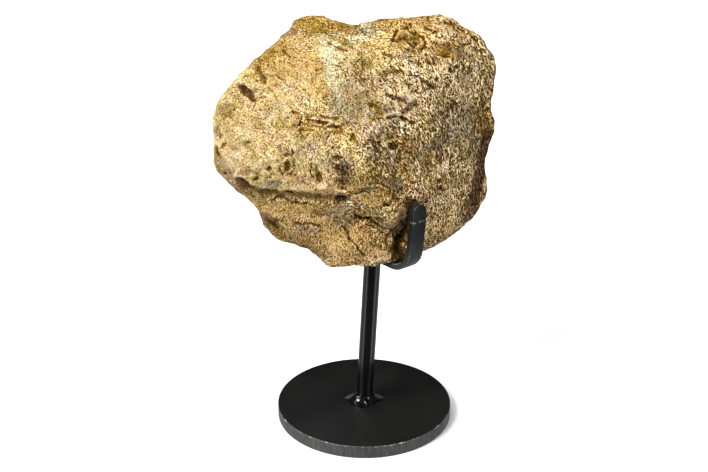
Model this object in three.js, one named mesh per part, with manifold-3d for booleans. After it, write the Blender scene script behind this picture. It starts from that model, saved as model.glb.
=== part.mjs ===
// A broken section of dinosaur neck frill, turned to stone, on a black steel display stand.
//
// The fossil is one thick slab of bone. It stands on its flat broken foot in a strap bent into
// a U, and leans back on the U's rear arm and on a second strap beside it. Both straps are welded
// to a round rod, and the rod is welded to a round disc that stands on the table.
//
// Millimetres. +Z is up, -Y is the side that the fossil faces, and the origin is the middle of
// the disc's underside.

import * as THREE from "three";
import Module from "manifold-3d";
import { mergeVertices } from "three/addons/utils/BufferGeometryUtils.js";

const wasm = await Module();
wasm.setup();

const radians = THREE.MathUtils.degToRad;

// ---------------------------------------------------------------- driving sizes

const GAP = 0.3; // left between two pieces that touch

const DISC_RADIUS = 50.8; // a 4 in disc
const DISC_THICKNESS = 7.5;
const DISC_EDGE_BREAK = 0.5;

const ROD_DIAMETER = 9.525; // 3/8 in round bar
const ROD_LEAN = radians(2.8); // towards +X, as it was welded
const ROD_TOP = 100;

const STRAP_WIDTH = 9.525; // 3/8 in by 1/8 in flat bar
const STRAP_THICKNESS = 3.2;
const STRAP_BEND = 8; // radius of a bend, at the middle of the bar
const CRADLE_TURN = radians(-50); // from +X round to the front arm
const PRONG_TURN = radians(45); // from +X round to the rear prong

const FOSSIL_LEAN = radians(12); // the slab leans back by this much
const FOSSIL_CENTRE = new THREE.Vector3(-7, 2, 167);
const FOOT_TILT = radians(2);
const FOSSIL_SQUARENESS = 3.6; // 2 would round the slab's edge like an ellipse

const bone = new THREE.MeshStandardMaterial({ color: 0xb08a52, roughness: 0.85, metalness: 0 });
const blackPaint = new THREE.MeshStandardMaterial({ color: 0x1c1d1f, roughness: 0.4, metalness: 0.2 });

const object = new THREE.Group();
object.up.set(0, 0, 1);

function addPiece(name, geometry, material, parent = object) {
  const mesh = new THREE.Mesh(geometry, material);
  mesh.name = name;
  parent.add(mesh);
  return mesh;
}

// ---------------------------------------------------------------- the disc

function discGeometry() {
  const profile = [
    [0, 0],
    [DISC_RADIUS - DISC_EDGE_BREAK, 0],
    [DISC_RADIUS, DISC_EDGE_BREAK],
    [DISC_RADIUS, DISC_THICKNESS - DISC_EDGE_BREAK],
    [DISC_RADIUS - DISC_EDGE_BREAK, DISC_THICKNESS],
    [0, DISC_THICKNESS],
  ].map(([r, z]) => new THREE.Vector2(r, z));
  return new THREE.LatheGeometry(profile, 72).rotateX(Math.PI / 2);
}

addPiece("base_disc", discGeometry(), blackPaint);

// ---------------------------------------------------------------- the rod

const rodRadius = ROD_DIAMETER / 2;
const rodFoot = DISC_THICKNESS + GAP;
const leanPerHeight = Math.tan(ROD_LEAN);

// Leans a shape that was made upright over the disc's centre, so that its foot stays flat.
function leanWithRod(geometry) {
  const shear = new THREE.Matrix4().makeShear(0, 0, 0, 0, leanPerHeight, 0);
  const back = new THREE.Matrix4().makeTranslation(-leanPerHeight * rodFoot, 0, 0);
  return geometry.applyMatrix4(shear).applyMatrix4(back);
}

function rodGeometry() {
  const length = ROD_TOP - rodFoot;
  const bar = new THREE.CylinderGeometry(rodRadius, rodRadius, length, 32);
  bar.rotateX(Math.PI / 2).translate(0, 0, rodFoot + length / 2);
  return leanWithRod(bar);
}

addPiece("rod", rodGeometry(), blackPaint);

// ---------------------------------------------------------------- the welds

// A bead of weld round the rod, thick against the rod and running out thin in uneven tongues.
function weldGeometry({ foot, reach, rise, tongueReach, upsideDown }) {
  const hole = rodRadius + GAP;
  const outerEdge = 0.6; // the height that the bead ends with
  const width = reach - hole;
  const profile = [
    [hole, 0],
    [reach, 0],
    [reach, outerEdge],
    [hole + 0.45 * width, 0.24 * rise],
    [hole + 0.18 * width, 0.52 * rise],
    [hole + 0.06 * width, rise],
    [hole, rise],
    [hole, 0],
  ].map(([r, z]) => new THREE.Vector2(r, z));
  const bead = new THREE.LatheGeometry(profile, 48).rotateX(Math.PI / 2);
  const place = bead.getAttribute("position");
  for (let i = 0; i < place.count; i++) {
    const [x, y] = [place.getX(i), place.getY(i)];
    const radius = Math.hypot(x, y);
    const turn = Math.atan2(y, x);
    const wave = 0.6 * Math.cos(2 * turn) + 0.4 * Math.cos(5 * turn + 1);
    const spread = tongueReach * wave * Math.max(0, (radius - hole) / width);
    const stretch = (radius + spread) / radius;
    place.setXY(i, x * stretch, y * stretch);
  }
  if (upsideDown) bead.rotateX(Math.PI);
  return leanWithRod(bead.translate(0, 0, foot));
}

const baseWeld = { foot: rodFoot, reach: 10.8, rise: 6, tongueReach: 2.2 };
addPiece("base_weld", weldGeometry(baseWeld), blackPaint);

const headWeld = { foot: ROD_TOP, reach: 7.8, rise: 4.5, tongueReach: 0.5, upsideDown: true };
addPiece("head_weld", weldGeometry(headWeld), blackPaint);

// ---------------------------------------------------------------- the fossil

// What stands on the rod's end is placed in this frame, whose origin is the middle of that end.
const head = new THREE.Group();
head.position.set(leanPerHeight * (ROD_TOP - rodFoot), 0, ROD_TOP);
object.add(head);

const strapLevel = GAP + STRAP_THICKNESS / 2; // a strap's middle, over the rod's end
const stoneLevel = strapLevel + STRAP_THICKNESS / 2 + GAP; // the stone's foot

// The slab's outline seen square on, from the middle of its right side and anticlockwise. Each
// point is measured from the slab's centre, across and up the slab. The foot is drawn long here
// and is cut flat afterwards.
const OUTLINE = [
  [75, 0], [77, 8], [74, 18], [76, 29], [75.5, 42], [72, 50], [67, 56.5], [58, 61.5],
  [47, 66], [34, 66], [22, 64.5], [10, 62], [0, 60.5], [-8, 62.5], [-18, 65.5],
  [-30, 64], [-34, 58], [-42, 50.5], [-51, 43], [-59, 36], [-64, 29], [-71, 20],
  [-74.5, 8], [-73.5, -2], [-74.5, -13], [-69, -20], [-58, -30], [-51, -38],
  [-47, -48], [-38.5, -54], [-25, -58], [-16, -66], [-9, -76], [1, -80], [14, -78],
  [22, -69], [32, -64], [43, -59], [55, -51.5], [66, -42.5], [72, -34], [73.5, -24], [72, -12],
];

const fullTurn = 2 * Math.PI;
const outlineAngles = OUTLINE.map(([u, v]) => (Math.atan2(v, u) + fullTurn) % fullTurn);
const outlineRadii = OUTLINE.map(([u, v]) => Math.hypot(u, v));

// From the slab's centre to its outline in one direction, by a smooth curve through the points.
function outlineRadius(angle) {
  const count = OUTLINE.length;
  const at = (i) => (i + count) % count;
  const turn = (angle + fullTurn) % fullTurn;
  const after = Math.max(0, outlineAngles.findIndex((a) => a > turn));
  const before = at(after - 1);
  const span = (outlineAngles[after] - outlineAngles[before] + fullTurn) % fullTurn;
  const t = ((turn - outlineAngles[before] + fullTurn) % fullTurn) / span;
  const [r0, r1, r2, r3] = [before - 1, before, after, after + 1].map((i) => outlineRadii[at(i)]);
  const slope = r2 - r0;
  const curve = 2 * r0 - 5 * r1 + 4 * r2 - r3;
  const twist = 3 * r1 - r0 - 3 * r2 + r3;
  return r1 + 0.5 * (slope * t + curve * t * t + twist * t * t * t);
}

// One rounded swell in a face of the slab, or a hollow where its height is negative.
function swell(u, v, { at, size, height }) {
  const across = (u - at[0]) / size[0];
  const up = (v - at[1]) / size[1];
  return height * Math.exp(-(across * across + up * up));
}

// The broken, knobbly look of the faces, about a millimetre deep.
function knobs(u, v, phase) {
  const coarse = Math.sin(u * 0.19 + phase) * Math.cos(v * 0.23 - 2 * phase);
  const fine = Math.sin(u * 0.31 - v * 0.2 + 3 * phase) * Math.cos(v * 0.27 + u * 0.12);
  return 0.9 * coarse + 0.4 * fine;
}

const FRONT_HALF = 20; // from the slab's middle plane to its front face
const FRONT_SWELLS = [
  { at: [-42, -8], size: [26, 16], height: 3.5 }, // left shoulder above the ledge
  { at: [20, -10], size: [30, 24], height: 3 }, // belly
  { at: [42, -27], size: [15, 12], height: 1.5 }, // where the front arm's tip bears
  { at: [-28, 30], size: [24, 20], height: -3.5 }, // shallow valley, upper left
  { at: [-4, 30], size: [9, 26], height: 1.5 }, // low rib beside the valley
  { at: [30, 34], size: [26, 12], height: 2.5 }, // brow, upper right
  { at: [31, -48], size: [12, 15], height: -6 }, // recess beside the front arm
  { at: [-8, -60], size: [24, 9], height: 3 }, // lip along the foot
  { at: [52, -38], size: [14, 10], height: -2 }, // hollow under the right corner
];
const LEDGE_DEPTH = 5.5; // the face steps back below the ledge

// How high the ledge lies at one place across the slab.
function ledgeHeight(u) {
  const droop = Math.max(0, u + 5);
  return -34 - 0.12 * u - 0.012 * droop * droop;
}

function frontHalf(u, v) {
  let half = FRONT_HALF + knobs(u, v, 0.4);
  for (const one of FRONT_SWELLS) half += swell(u, v, one);
  const belowLedge = 1 - THREE.MathUtils.smoothstep(v - ledgeHeight(u), -7, 3);
  const leftOfArm = 1 - THREE.MathUtils.smoothstep(u, 30, 45);
  half -= LEDGE_DEPTH * belowLedge * leftOfArm;
  half -= 0.45 * Math.max(0, u - 46); // the face turns away to the right
  half -= 0.55 * Math.max(0, v - 44); // and along the top
  return half;
}

const BACK_HALF = 17; // from the slab's middle plane to its back face
const BACK_SWELLS = [
  { at: [-30, 12], size: [34, 30], height: -3 },
  { at: [34, 18], size: [26, 30], height: 3 },
  { at: [10, -40], size: [40, 14], height: -2 },
  { at: [-48, -22], size: [18, 14], height: 2.5 },
];

function backHalf(u, v) {
  let half = BACK_HALF + knobs(v, u, 1.3);
  for (const one of BACK_SWELLS) half += swell(u, v, one);
  half -= 0.3 * Math.max(0, v - 40);
  return half;
}

const STEPS_ROUND = 90;
const STEPS_THROUGH = 36;
const MIDDLE_RADIUS = 70; // the middle of the slab keeps round rings of this scale

// A ball pulled out to the slab's outline and flattened between its two faces.
function slabGeometry() {
  const ball = new THREE.SphereGeometry(1, STEPS_ROUND, STEPS_THROUGH);
  ball.rotateX(Math.PI / 2); // its poles face the front and the back
  const place = ball.getAttribute("position");
  for (let i = 0; i < place.count; i++) {
    const [x, y, z] = [place.getX(i), place.getY(i), place.getZ(i)];
    const angle = Math.atan2(y, x);
    const share = Math.min(1, Math.hypot(x, y));
    const outward = outlineRadius(angle) - MIDDLE_RADIUS;
    const radius = share * (MIDDLE_RADIUS + outward * share ** 2);
    const [u, v] = [radius * Math.cos(angle), radius * Math.sin(angle)];
    const depth = (1 - share ** FOSSIL_SQUARENESS) ** (1 / FOSSIL_SQUARENESS);
    place.setXYZ(i, u, v, z > 0 ? depth * frontHalf(u, v) : -depth * backHalf(u, v));
  }
  return ball;
}

function solidFrom(geometry) {
  for (const name of ["normal", "uv"]) geometry.deleteAttribute(name);
  const merged = mergeVertices(geometry, 1e-3);
  const vertProperties = merged.getAttribute("position").array;
  return new wasm.Manifold(
    new wasm.Mesh({ numProp: 3, vertProperties, triVerts: new Uint32Array(merged.index.array) }),
  );
}

function geometryFrom(solid) {
  const { vertProperties, triVerts } = solid.getMesh();
  const geometry = new THREE.BufferGeometry();
  geometry.setAttribute("position", new THREE.BufferAttribute(vertProperties, 3));
  geometry.setIndex(new THREE.BufferAttribute(triVerts, 1));
  return geometry;
}

const slab = slabGeometry().rotateX(Math.PI / 2 - FOSSIL_LEAN).translate(...FOSSIL_CENTRE);
// The foot is broken off nearly flat: it bears on the near edge of the cradle's strap, and in
// front of that edge it hangs a little lower.
const belowFoot = new THREE.BoxGeometry(200, 200, 60);
belowFoot.translate(0, STRAP_WIDTH / 2, -30).rotateX(FOOT_TILT);
belowFoot.translate(0, -STRAP_WIDTH / 2, stoneLevel).rotateZ(CRADLE_TURN);
belowFoot.translate(...head.position);
const stone = solidFrom(slab).subtract(solidFrom(belowFoot));
addPiece("frill_fossil", geometryFrom(stone), bone);

// ---------------------------------------------------------------- the straps

// Points [reach, height] of a bend in a bar, round a centre.
function bend(centre, radius, from, to) {
  const steps = Math.ceil(Math.abs(to - from) / radians(11));
  return Array.from({ length: steps + 1 }, (_, i) => {
    const angle = from + ((to - from) * i) / steps;
    return [centre[0] + radius * Math.cos(angle), centre[1] + radius * Math.sin(angle)];
  });
}

// The middle line of an arm, from the strap's floor outwards and up to its tip.
function armLine({ floorReach, radius = STRAP_BEND, splay, height, tipLength, tipNip }) {
  const turned = bend([floorReach, strapLevel + radius], radius, -Math.PI / 2, -splay);
  const [reach, rise] = turned.at(-1);
  const shank = (height - tipLength - rise) / Math.cos(splay);
  const knee = [reach + shank * Math.sin(splay), rise + shank * Math.cos(splay)];
  const tipLean = splay - tipNip;
  const tip = [knee[0] + tipLength * Math.sin(tipLean), knee[1] + tipLength * Math.cos(tipLean)];
  return [...turned, knee, tip];
}

const mirrored = (line) => line.map(([reach, rise]) => [-reach, rise]).reverse();

const TIP_STEPS = 8; // in the quarter circle on each side of a rounded tip
const TIP_END_SHARE = 0.15; // of the width that the very tip keeps

// A flat bar along a middle line in the XZ plane, with its width along Y. The end tip is
// rounded, and the start tip too if asked.
function strapGeometry(line, roundStart) {
  const half = STRAP_WIDTH / 2;
  const spots = line.map(([x, z]) => new THREE.Vector2(x, z));
  const along = [0];
  for (let i = 1; i < spots.length; i++) along.push(along[i - 1] + spots[i].distanceTo(spots[i - 1]));
  const length = along.at(-1);
  const insets = Array.from({ length: TIP_STEPS + 1 }, (_, i) => {
    return half * (1 - Math.cos((i / TIP_STEPS) * (Math.PI / 2)));
  });
  const wanted = [...along, ...insets.map((d) => length - d), ...(roundStart ? insets : [])];
  const stations = wanted.sort((a, b) => a - b).filter((s, i, all) => i === 0 || s - all[i - 1] > 1e-3);
  const roundedHalf = (inset) => {
    const share = Math.min(1, inset / half);
    return half * Math.max(TIP_END_SHARE, Math.sqrt(share * (2 - share)));
  };
  const pointAt = (s) => {
    const i = Math.min(along.length - 1, Math.max(1, along.findIndex((a) => a >= s)));
    return spots[i - 1].clone().lerp(spots[i], (s - along[i - 1]) / (along[i] - along[i - 1]));
  };
  const corners = stations.flatMap((s) => {
    const at = pointAt(s);
    const way = pointAt(Math.min(length, s + 0.4)).sub(pointAt(Math.max(0, s - 0.4))).normalize();
    const out = new THREE.Vector2(way.y, -way.x).multiplyScalar(STRAP_THICKNESS / 2);
    const w = Math.min(roundedHalf(length - s), roundStart ? roundedHalf(s) : half);
    return [
      [at.x + out.x, -w, at.y + out.y],
      [at.x + out.x, w, at.y + out.y],
      [at.x - out.x, w, at.y - out.y],
      [at.x - out.x, -w, at.y - out.y],
    ];
  });
  const faces = [0, 2, 1, 0, 3, 2];
  const last = 4 * (stations.length - 1);
  for (let ring = 0; ring < last; ring += 4) {
    for (let k = 0; k < 4; k++) {
      const [a, b] = [ring + k, ring + ((k + 1) % 4)];
      faces.push(a, b, b + 4, a, b + 4, a + 4);
    }
  }
  faces.push(last, last + 1, last + 2, last, last + 2, last + 3);
  const bar = new THREE.BufferGeometry();
  bar.setAttribute("position", new THREE.Float32BufferAttribute(corners.flat(), 3));
  bar.setIndex(faces);
  return bar;
}

const stoneMesh = new THREE.Mesh(geometryFrom(stone), new THREE.MeshBasicMaterial({ side: THREE.DoubleSide }));
const FAR_OUT = 80;

// How far from the rod's axis the stone's skin comes, over the width of an upright strap.
function stoneReach(turn, height) {
  const reaches = [-1, -0.5, 0, 0.5, 1].map((side) => {
    const from = new THREE.Vector3(FAR_OUT, (side * STRAP_WIDTH) / 2, height);
    from.applyAxisAngle(object.up, turn).add(head.position);
    const inward = new THREE.Vector3(-1, 0, 0).applyAxisAngle(object.up, turn);
    const [hit] = new THREE.Raycaster(from, inward).intersectObject(stoneMesh);
    return hit ? FAR_OUT - hit.distance : 0;
  });
  return Math.max(...reaches);
}

// An arm that rises behind the stone, splayed just enough to lie against it.
function rearArm(turn, { floorReach, height }) {
  const clear = STRAP_THICKNESS / 2 + 2 * GAP;
  let splay = 0;
  for (let h = STRAP_BEND + 4; h < height; h += 2) {
    const run = stoneReach(turn, h) + clear - floorReach - STRAP_BEND;
    splay = Math.max(splay, Math.atan2(run, h - STRAP_BEND));
  }
  return armLine({ floorReach, splay, height, tipLength: 11, tipNip: 0 });
}

// The cradle: one strap bent into a U. Its front arm shows beside the stone's foot.
const FRONT_ARM = {
  floorReach: 21,
  radius: 13, // a wider bend than the others
  splay: radians(6.5),
  height: 41,
  tipLength: 11,
  tipNip: radians(6), // the tip is bent back a little towards the stone
};
const REAR_ARM = { floorReach: 6.5, height: 62 };
const PRONG = { floorReach: 8, height: 56 };

const rearHalf = mirrored(rearArm(CRADLE_TURN + Math.PI, REAR_ARM));
const cradleLine = [...rearHalf, ...armLine(FRONT_ARM)];
const cradle = addPiece("cradle_strap", strapGeometry(cradleLine, true), blackPaint, head);
cradle.rotation.z = CRADLE_TURN;

// The rear prong butts against the side of the cradle over the rod.
const prongStart = STRAP_WIDTH / 2 + 1;
const prongLine = [[prongStart, strapLevel], ...rearArm(PRONG_TURN, PRONG)];
const prong = addPiece("rear_prong", strapGeometry(prongLine, false), blackPaint, head);
prong.rotation.z = PRONG_TURN;

export default object;
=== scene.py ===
import math

import bpy
import numpy as np
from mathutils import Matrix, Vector, noise
from mathutils.bvhtree import BVHTree


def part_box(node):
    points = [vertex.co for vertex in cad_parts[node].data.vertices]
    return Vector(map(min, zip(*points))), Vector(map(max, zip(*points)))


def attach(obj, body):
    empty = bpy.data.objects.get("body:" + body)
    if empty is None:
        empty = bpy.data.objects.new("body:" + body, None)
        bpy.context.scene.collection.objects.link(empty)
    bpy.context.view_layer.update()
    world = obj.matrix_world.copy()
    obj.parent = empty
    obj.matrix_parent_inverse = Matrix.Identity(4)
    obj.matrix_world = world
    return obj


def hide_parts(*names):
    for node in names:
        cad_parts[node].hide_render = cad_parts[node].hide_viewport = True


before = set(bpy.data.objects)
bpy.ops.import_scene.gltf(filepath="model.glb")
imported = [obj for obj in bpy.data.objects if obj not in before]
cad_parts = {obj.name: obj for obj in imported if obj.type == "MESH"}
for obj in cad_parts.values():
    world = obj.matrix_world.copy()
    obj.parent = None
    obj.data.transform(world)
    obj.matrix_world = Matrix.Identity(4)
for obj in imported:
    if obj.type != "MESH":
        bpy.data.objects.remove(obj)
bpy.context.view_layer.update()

# ---------------------------------------------------------------- the base disc
# A round blank of mild steel plate, cut out by torch and only roughly dressed, so its wall keeps
# faint grooves from top to bottom. It is sprayed satin black, and the paint has chips along the
# top corner. The grey of the wall is a painted reflection of the floor.

MM = 0.001
DISC_STEPS = 480  # round the wall, fine enough to hold the cutting grooves
DISC_CORNER = 0.45 * MM
WALL_RINGS = 6  # cuts across the wall
WALL_SKIN = 0.2 * MM  # how far in from the rim still counts as the wall
CUT_GROOVE = 0.07 * MM  # depth of a groove
CUT_PITCH = 0.9 * MM
CUT_LENGTH = 14 * MM
CHIPS_FROM = 0.9 * MM  # below the top face, where the chips begin
CHIPS_FULL = 0.3 * MM

disc_high = Vector(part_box("base_disc")[1])
disc_radius = disc_high.x
disc_top = disc_high.z


def select_only(piece):
    bpy.ops.object.select_all(action="DESELECT")
    piece.select_set(True)
    bpy.context.view_layer.objects.active = piece


def select_edges(piece, wanted):
    """In edit mode, selects the edges whose rise from end to end is wanted."""
    bpy.ops.object.mode_set(mode="EDIT")
    bpy.ops.mesh.select_mode(type="EDGE")
    bpy.ops.mesh.select_all(action="DESELECT")
    bpy.ops.object.mode_set(mode="OBJECT")
    for edge in piece.data.edges:
        start, end = (piece.data.vertices[v].co for v in edge.vertices)
        edge.select = wanted(abs(start.z - end.z))
    bpy.ops.object.mode_set(mode="EDIT")


def add_modifier(piece, kind, **settings):
    """Adds one modifier and applies it at once."""
    select_only(piece)
    modifier = piece.modifiers.new(kind, kind)
    for name, value in settings.items():
        setattr(modifier, name, value)
    bpy.ops.object.modifier_apply(modifier=modifier.name)


def places_of(piece):
    """The piece's vertices, in metres, one row each."""
    flat = np.empty(3 * len(piece.data.vertices))
    piece.data.vertices.foreach_get("co", flat)
    return flat.reshape(-1, 3)


def set_places(piece, places):
    piece.data.vertices.foreach_set("co", places.ravel())
    piece.data.update()


def linear(hex_colour):
    """An sRGB hex colour as linear red, green, blue and alpha."""
    parts = [int(hex_colour[i : i + 2], 16) / 255 for i in (1, 3, 5)]
    return [p / 12.92 if p <= 0.04045 else ((p + 0.055) / 1.055) ** 2.4 for p in parts] + [1.0]


def add_node(tree, kind, inputs=(), stops=(), **settings):
    """One shader node, with its settings, its inputs set or linked, and a ramp's coloured stops."""
    node = tree.nodes.new("ShaderNode" + kind)
    for name, value in settings.items():
        setattr(node, name, value)
    for name, value in dict(inputs).items():
        if isinstance(value, bpy.types.NodeSocket):
            tree.links.new(value, node.inputs[name])
        else:
            node.inputs[name].default_value = value
    if stops:
        ramp = node.color_ramp.elements
        ramp.remove(ramp[1])
        for place, _ in stops[1:]:
            ramp.new(place)
        for stop, (place, colour) in zip(ramp, stops):
            stop.position = place
            stop.color = linear(colour)
    return node


def new_material(name):
    """An empty material, and its node tree."""
    material = bpy.data.materials.new(name)
    material.use_nodes = True
    material.node_tree.nodes.clear()
    return material, material.node_tree


def finish_piece(piece, material, node):
    """Gives a finished piece its material and its body, and hides the solid that it stands for."""
    piece.data.materials.clear()
    piece.data.materials.append(material)
    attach(piece, "root")
    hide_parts(node)


def satin_black_paint():
    """Satin black enamel, sprayed: near black, a soft sheen, and the fine dimples of orange peel."""
    material, tree = new_material("satin black enamel, sprayed")
    place = add_node(tree, "TexCoord").outputs["Object"]
    peel = add_node(tree, "TexNoise", {"Vector": place, "Scale": 1 / (1.4 * MM), "Detail": 2.0})
    cloud = add_node(tree, "TexNoise", {"Vector": place, "Scale": 1 / (30 * MM), "Detail": 3.0})
    sheen = add_node(tree, "MapRange", {0: cloud.outputs["Fac"], 1: 0.3, 2: 0.7, 3: 0.34, 4: 0.46})
    tints = [(0.3, "#090909"), (0.7, "#0e0e0d")]
    tint = add_node(tree, "ValToRGB", {0: cloud.outputs["Fac"]}, tints)
    dimples = {"Height": peel.outputs["Fac"], "Strength": 0.12, "Distance": 0.1 * MM}
    bump = add_node(tree, "Bump", dimples)
    surface = add_node(
        tree,
        "BsdfPrincipled",
        {
            "Base Color": tint.outputs["Color"],
            "Roughness": sheen.outputs["Result"],
            "Specular IOR Level": 0.3,
            "Normal": bump.outputs["Normal"],
        },
    )
    add_node(tree, "OutputMaterial", {"Surface": surface.outputs["BSDF"]})
    return material


def torch_cut_wall_paint():
    """The same enamel over a torch-cut wall, streaked from top to bottom, its grey a painted reflection
    of the floor.
    """
    material, tree = new_material("thin black enamel on torch-cut steel")
    place = add_node(tree, "TexCoord").outputs["Object"]
    stretched = add_node(
        tree, "Mapping", {"Vector": place, "Scale": (1 / (1.1 * MM), 1 / (1.1 * MM), 1 / (9 * MM))}
    )
    along = stretched.outputs["Vector"]
    streak = add_node(tree, "TexNoise", {"Vector": along, "Scale": 1.0, "Detail": 3.0})
    # painted reflection: this grey stands for the white floor seen in the wall, streaked along the
    # grooves
    tint = add_node(
        tree,
        "ValToRGB",
        {0: streak.outputs["Fac"]},
        [(0.3, "#323231"), (0.5, "#3f3f3e"), (0.75, "#535351")],
    )
    height = add_node(tree, "SeparateXYZ", {0: place}).outputs["Z"]
    near_top = add_node(
        tree, "MapRange", {0: height, 1: disc_top - CHIPS_FROM, 2: disc_top - CHIPS_FULL}
    )
    fleck = add_node(tree, "TexNoise", {"Vector": place, "Scale": 1 / (1.3 * MM), "Detail": 3.0})
    flecked = add_node(tree, "MapRange", {0: fleck.outputs["Fac"], 1: 0.6, 2: 0.64})
    bare = add_node(
        tree,
        "Math",
        {0: near_top.outputs["Result"], 1: flecked.outputs["Result"]},
        operation="MULTIPLY",
    )
    colour = add_node(
        tree,
        "Mix",
        {0: bare.outputs["Value"], 6: tint.outputs["Color"], 7: linear("#c9c8c4")},
        data_type="RGBA",
    )
    bump = add_node(
        tree, "Bump", {"Height": streak.outputs["Fac"], "Strength": 0.35, "Distance": 0.2 * MM}
    )
    surface = add_node(
        tree,
        "BsdfPrincipled",
        {
            "Base Color": colour.outputs[2],
            "Roughness": 0.5,
            "IOR": 1.5,
            "Normal": bump.outputs["Normal"],
        },
    )
    add_node(tree, "OutputMaterial", {"Surface": surface.outputs["BSDF"]})
    return material


def make_disc():
    """A cylinder with bevelled rims, its wall cut into rings and grooved."""
    bpy.ops.object.select_all(action="DESELECT")
    bpy.ops.mesh.primitive_cylinder_add(
        vertices=DISC_STEPS,
        radius=disc_radius,
        depth=disc_top,
        location=(0, 0, disc_top / 2),
    )
    disc = bpy.context.object
    disc.name = "disc_plate"
    bpy.ops.object.transform_apply()
    select_edges(disc, lambda rise: rise < disc_top / 2)
    bpy.ops.mesh.bevel(offset=DISC_CORNER, segments=3, affect="EDGES")
    select_edges(disc, lambda rise: rise > disc_top / 2)
    bpy.ops.mesh.subdivide(number_cuts=WALL_RINGS)
    bpy.ops.object.mode_set(mode="OBJECT")
    places = places_of(disc)
    radius = np.hypot(places[:, 0], places[:, 1])
    for i in np.flatnonzero(radius > disc_radius - WALL_SKIN):
        x, y, z = places[i]
        groove = noise.fractal((x / CUT_PITCH, y / CUT_PITCH, z / CUT_LENGTH), 1.0, 2.0, 2)
        places[i, :2] *= 1 - CUT_GROOVE * abs(groove) / disc_radius
    set_places(disc, places)
    finish_piece(disc, satin_black_paint(), "base_disc")
    disc.data.materials.append(torch_cut_wall_paint())
    for face in disc.data.polygons:
        is_wall = abs(face.normal.z) < 0.8
        face.material_index = int(is_wall)
    bpy.ops.object.shade_smooth_by_angle(angle=math.radians(40))


make_disc()

# ---------------------------------------------------------------- the rod
# A length of 3/8 in round bar, cut square and welded to the disc a little out of true. It is
# sprayed with the same black enamel, which lies smoother and glossier on drawn bar.

ROD_SIDES = 96
ROD_RINGS = 40  # cuts along the rod

rod_low, rod_high = (Vector(corner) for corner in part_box("rod"))
rod_radius = rod_high.y
rod_foot = Vector((rod_low.x + rod_radius, 0, rod_low.z))
rod_head = Vector((rod_high.x - rod_radius, 0, rod_high.z))


def black_enamel(name, roughness, peel_size, black="#080808", specular=0.5):
    """Black enamel on a smooth drawn or melted surface, hardly dimpled: glossy or dull, and where black
    is grey it paints a sheen.
    """
    material, tree = new_material(name)
    place = add_node(tree, "TexCoord").outputs["Object"]
    peel = add_node(tree, "TexNoise", {"Vector": place, "Scale": 1 / peel_size, "Detail": 2.0})
    sheen = add_node(
        tree,
        "MapRange",
        {0: peel.outputs["Fac"], 1: 0.3, 2: 0.7, 3: 0.8 * roughness, 4: 1.2 * roughness},
    )
    dimples = {"Height": peel.outputs["Fac"], "Strength": 0.1, "Distance": 0.1 * MM}
    bump = add_node(tree, "Bump", dimples)
    surface = add_node(
        tree,
        "BsdfPrincipled",
        {
            "Base Color": linear(black),
            "Specular IOR Level": specular,
            "Roughness": sheen.outputs["Result"],
            "IOR": 1.5,
            "Normal": bump.outputs["Normal"],
        },
    )
    add_node(tree, "OutputMaterial", {"Surface": surface.outputs["BSDF"]})
    return material


def make_rod():
    """A cylinder cut into rings, its head then slid over so that it leans as the real bar does."""
    bpy.ops.object.select_all(action="DESELECT")
    length = rod_head.z - rod_foot.z
    bpy.ops.mesh.primitive_cylinder_add(
        vertices=ROD_SIDES,
        radius=rod_radius,
        depth=length,
        location=(rod_foot + rod_head) / 2,
    )
    rod = bpy.context.object
    rod.name = "rod_bar"
    bpy.ops.object.transform_apply()
    select_edges(rod, lambda rise: rise > length / 2)
    bpy.ops.mesh.subdivide(number_cuts=ROD_RINGS)
    bpy.ops.object.mode_set(mode="OBJECT")
    places = places_of(rod)
    share = (places[:, 2] - rod_foot.z) / length
    middle = (rod_foot.x + rod_head.x) / 2
    places[:, 0] += rod_foot.x + share * (rod_head.x - rod_foot.x) - middle
    set_places(rod, places)
    paint = black_enamel("glossy black enamel on drawn bar", 0.2, 5 * MM)
    finish_piece(rod, paint, "rod")
    bpy.ops.object.shade_smooth_by_angle(angle=math.radians(40))


make_rod()

# ---------------------------------------------------------------- the welds
# Two beads of arc weld, one round the rod's foot and one round its head. Each was laid in short
# dabs that ran together while molten, and a few splashes froze on the plate beside the foot.

WELD_GRAIN = 0.35 * MM
COLLAR_HEIGHT = 5 * MM  # of the cone of weld round the bar
COLLAR_WIDTH = 3.4 * MM  # how far it stands out from the bar, and at its tip
COLLAR_LIP = 0.1 * MM
SPLASH_START = 3 * MM  # to each side of the bar's middle: the splashes beyond it get a painted sheen on top
SPLASH_FRONT = 1.5 * MM  # how far in front of it their tops reach
RIM_RIGHT = 2.6 * MM  # beyond these, to its right and left, the rest of the bead is dull
RIM_LEFT = 6.5 * MM

# Each dab is a flattened ball: where it lies (how far out, which way, how high), its half sizes
# outwards, sideways and up, and how far it falls outwards, in mm and degrees.
BACK_DABS = [((4.6, turn, 0), (3.0, 4.2, 2.6), 0) for turn in (132, 90, 48)]
FOOT_DABS = [
    ((5.2, 238, 0), (4.4, 6.2, 5.6), 0),
    ((5.2, 196, 0), (3.4, 4.2, 3.0), 0),
    *BACK_DABS,
    ((6.6, 8, 1.6), (6.8, 3.4, 1.5), 23),
    ((6.4, 174, 1.6), (6.6, 3.4, 1.5), 23),
]
HEAD_DABS = [((4.6, turn, 0), (2.8, 2.8, 2.4), 0) for turn in range(10, 360, 45)]


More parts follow.
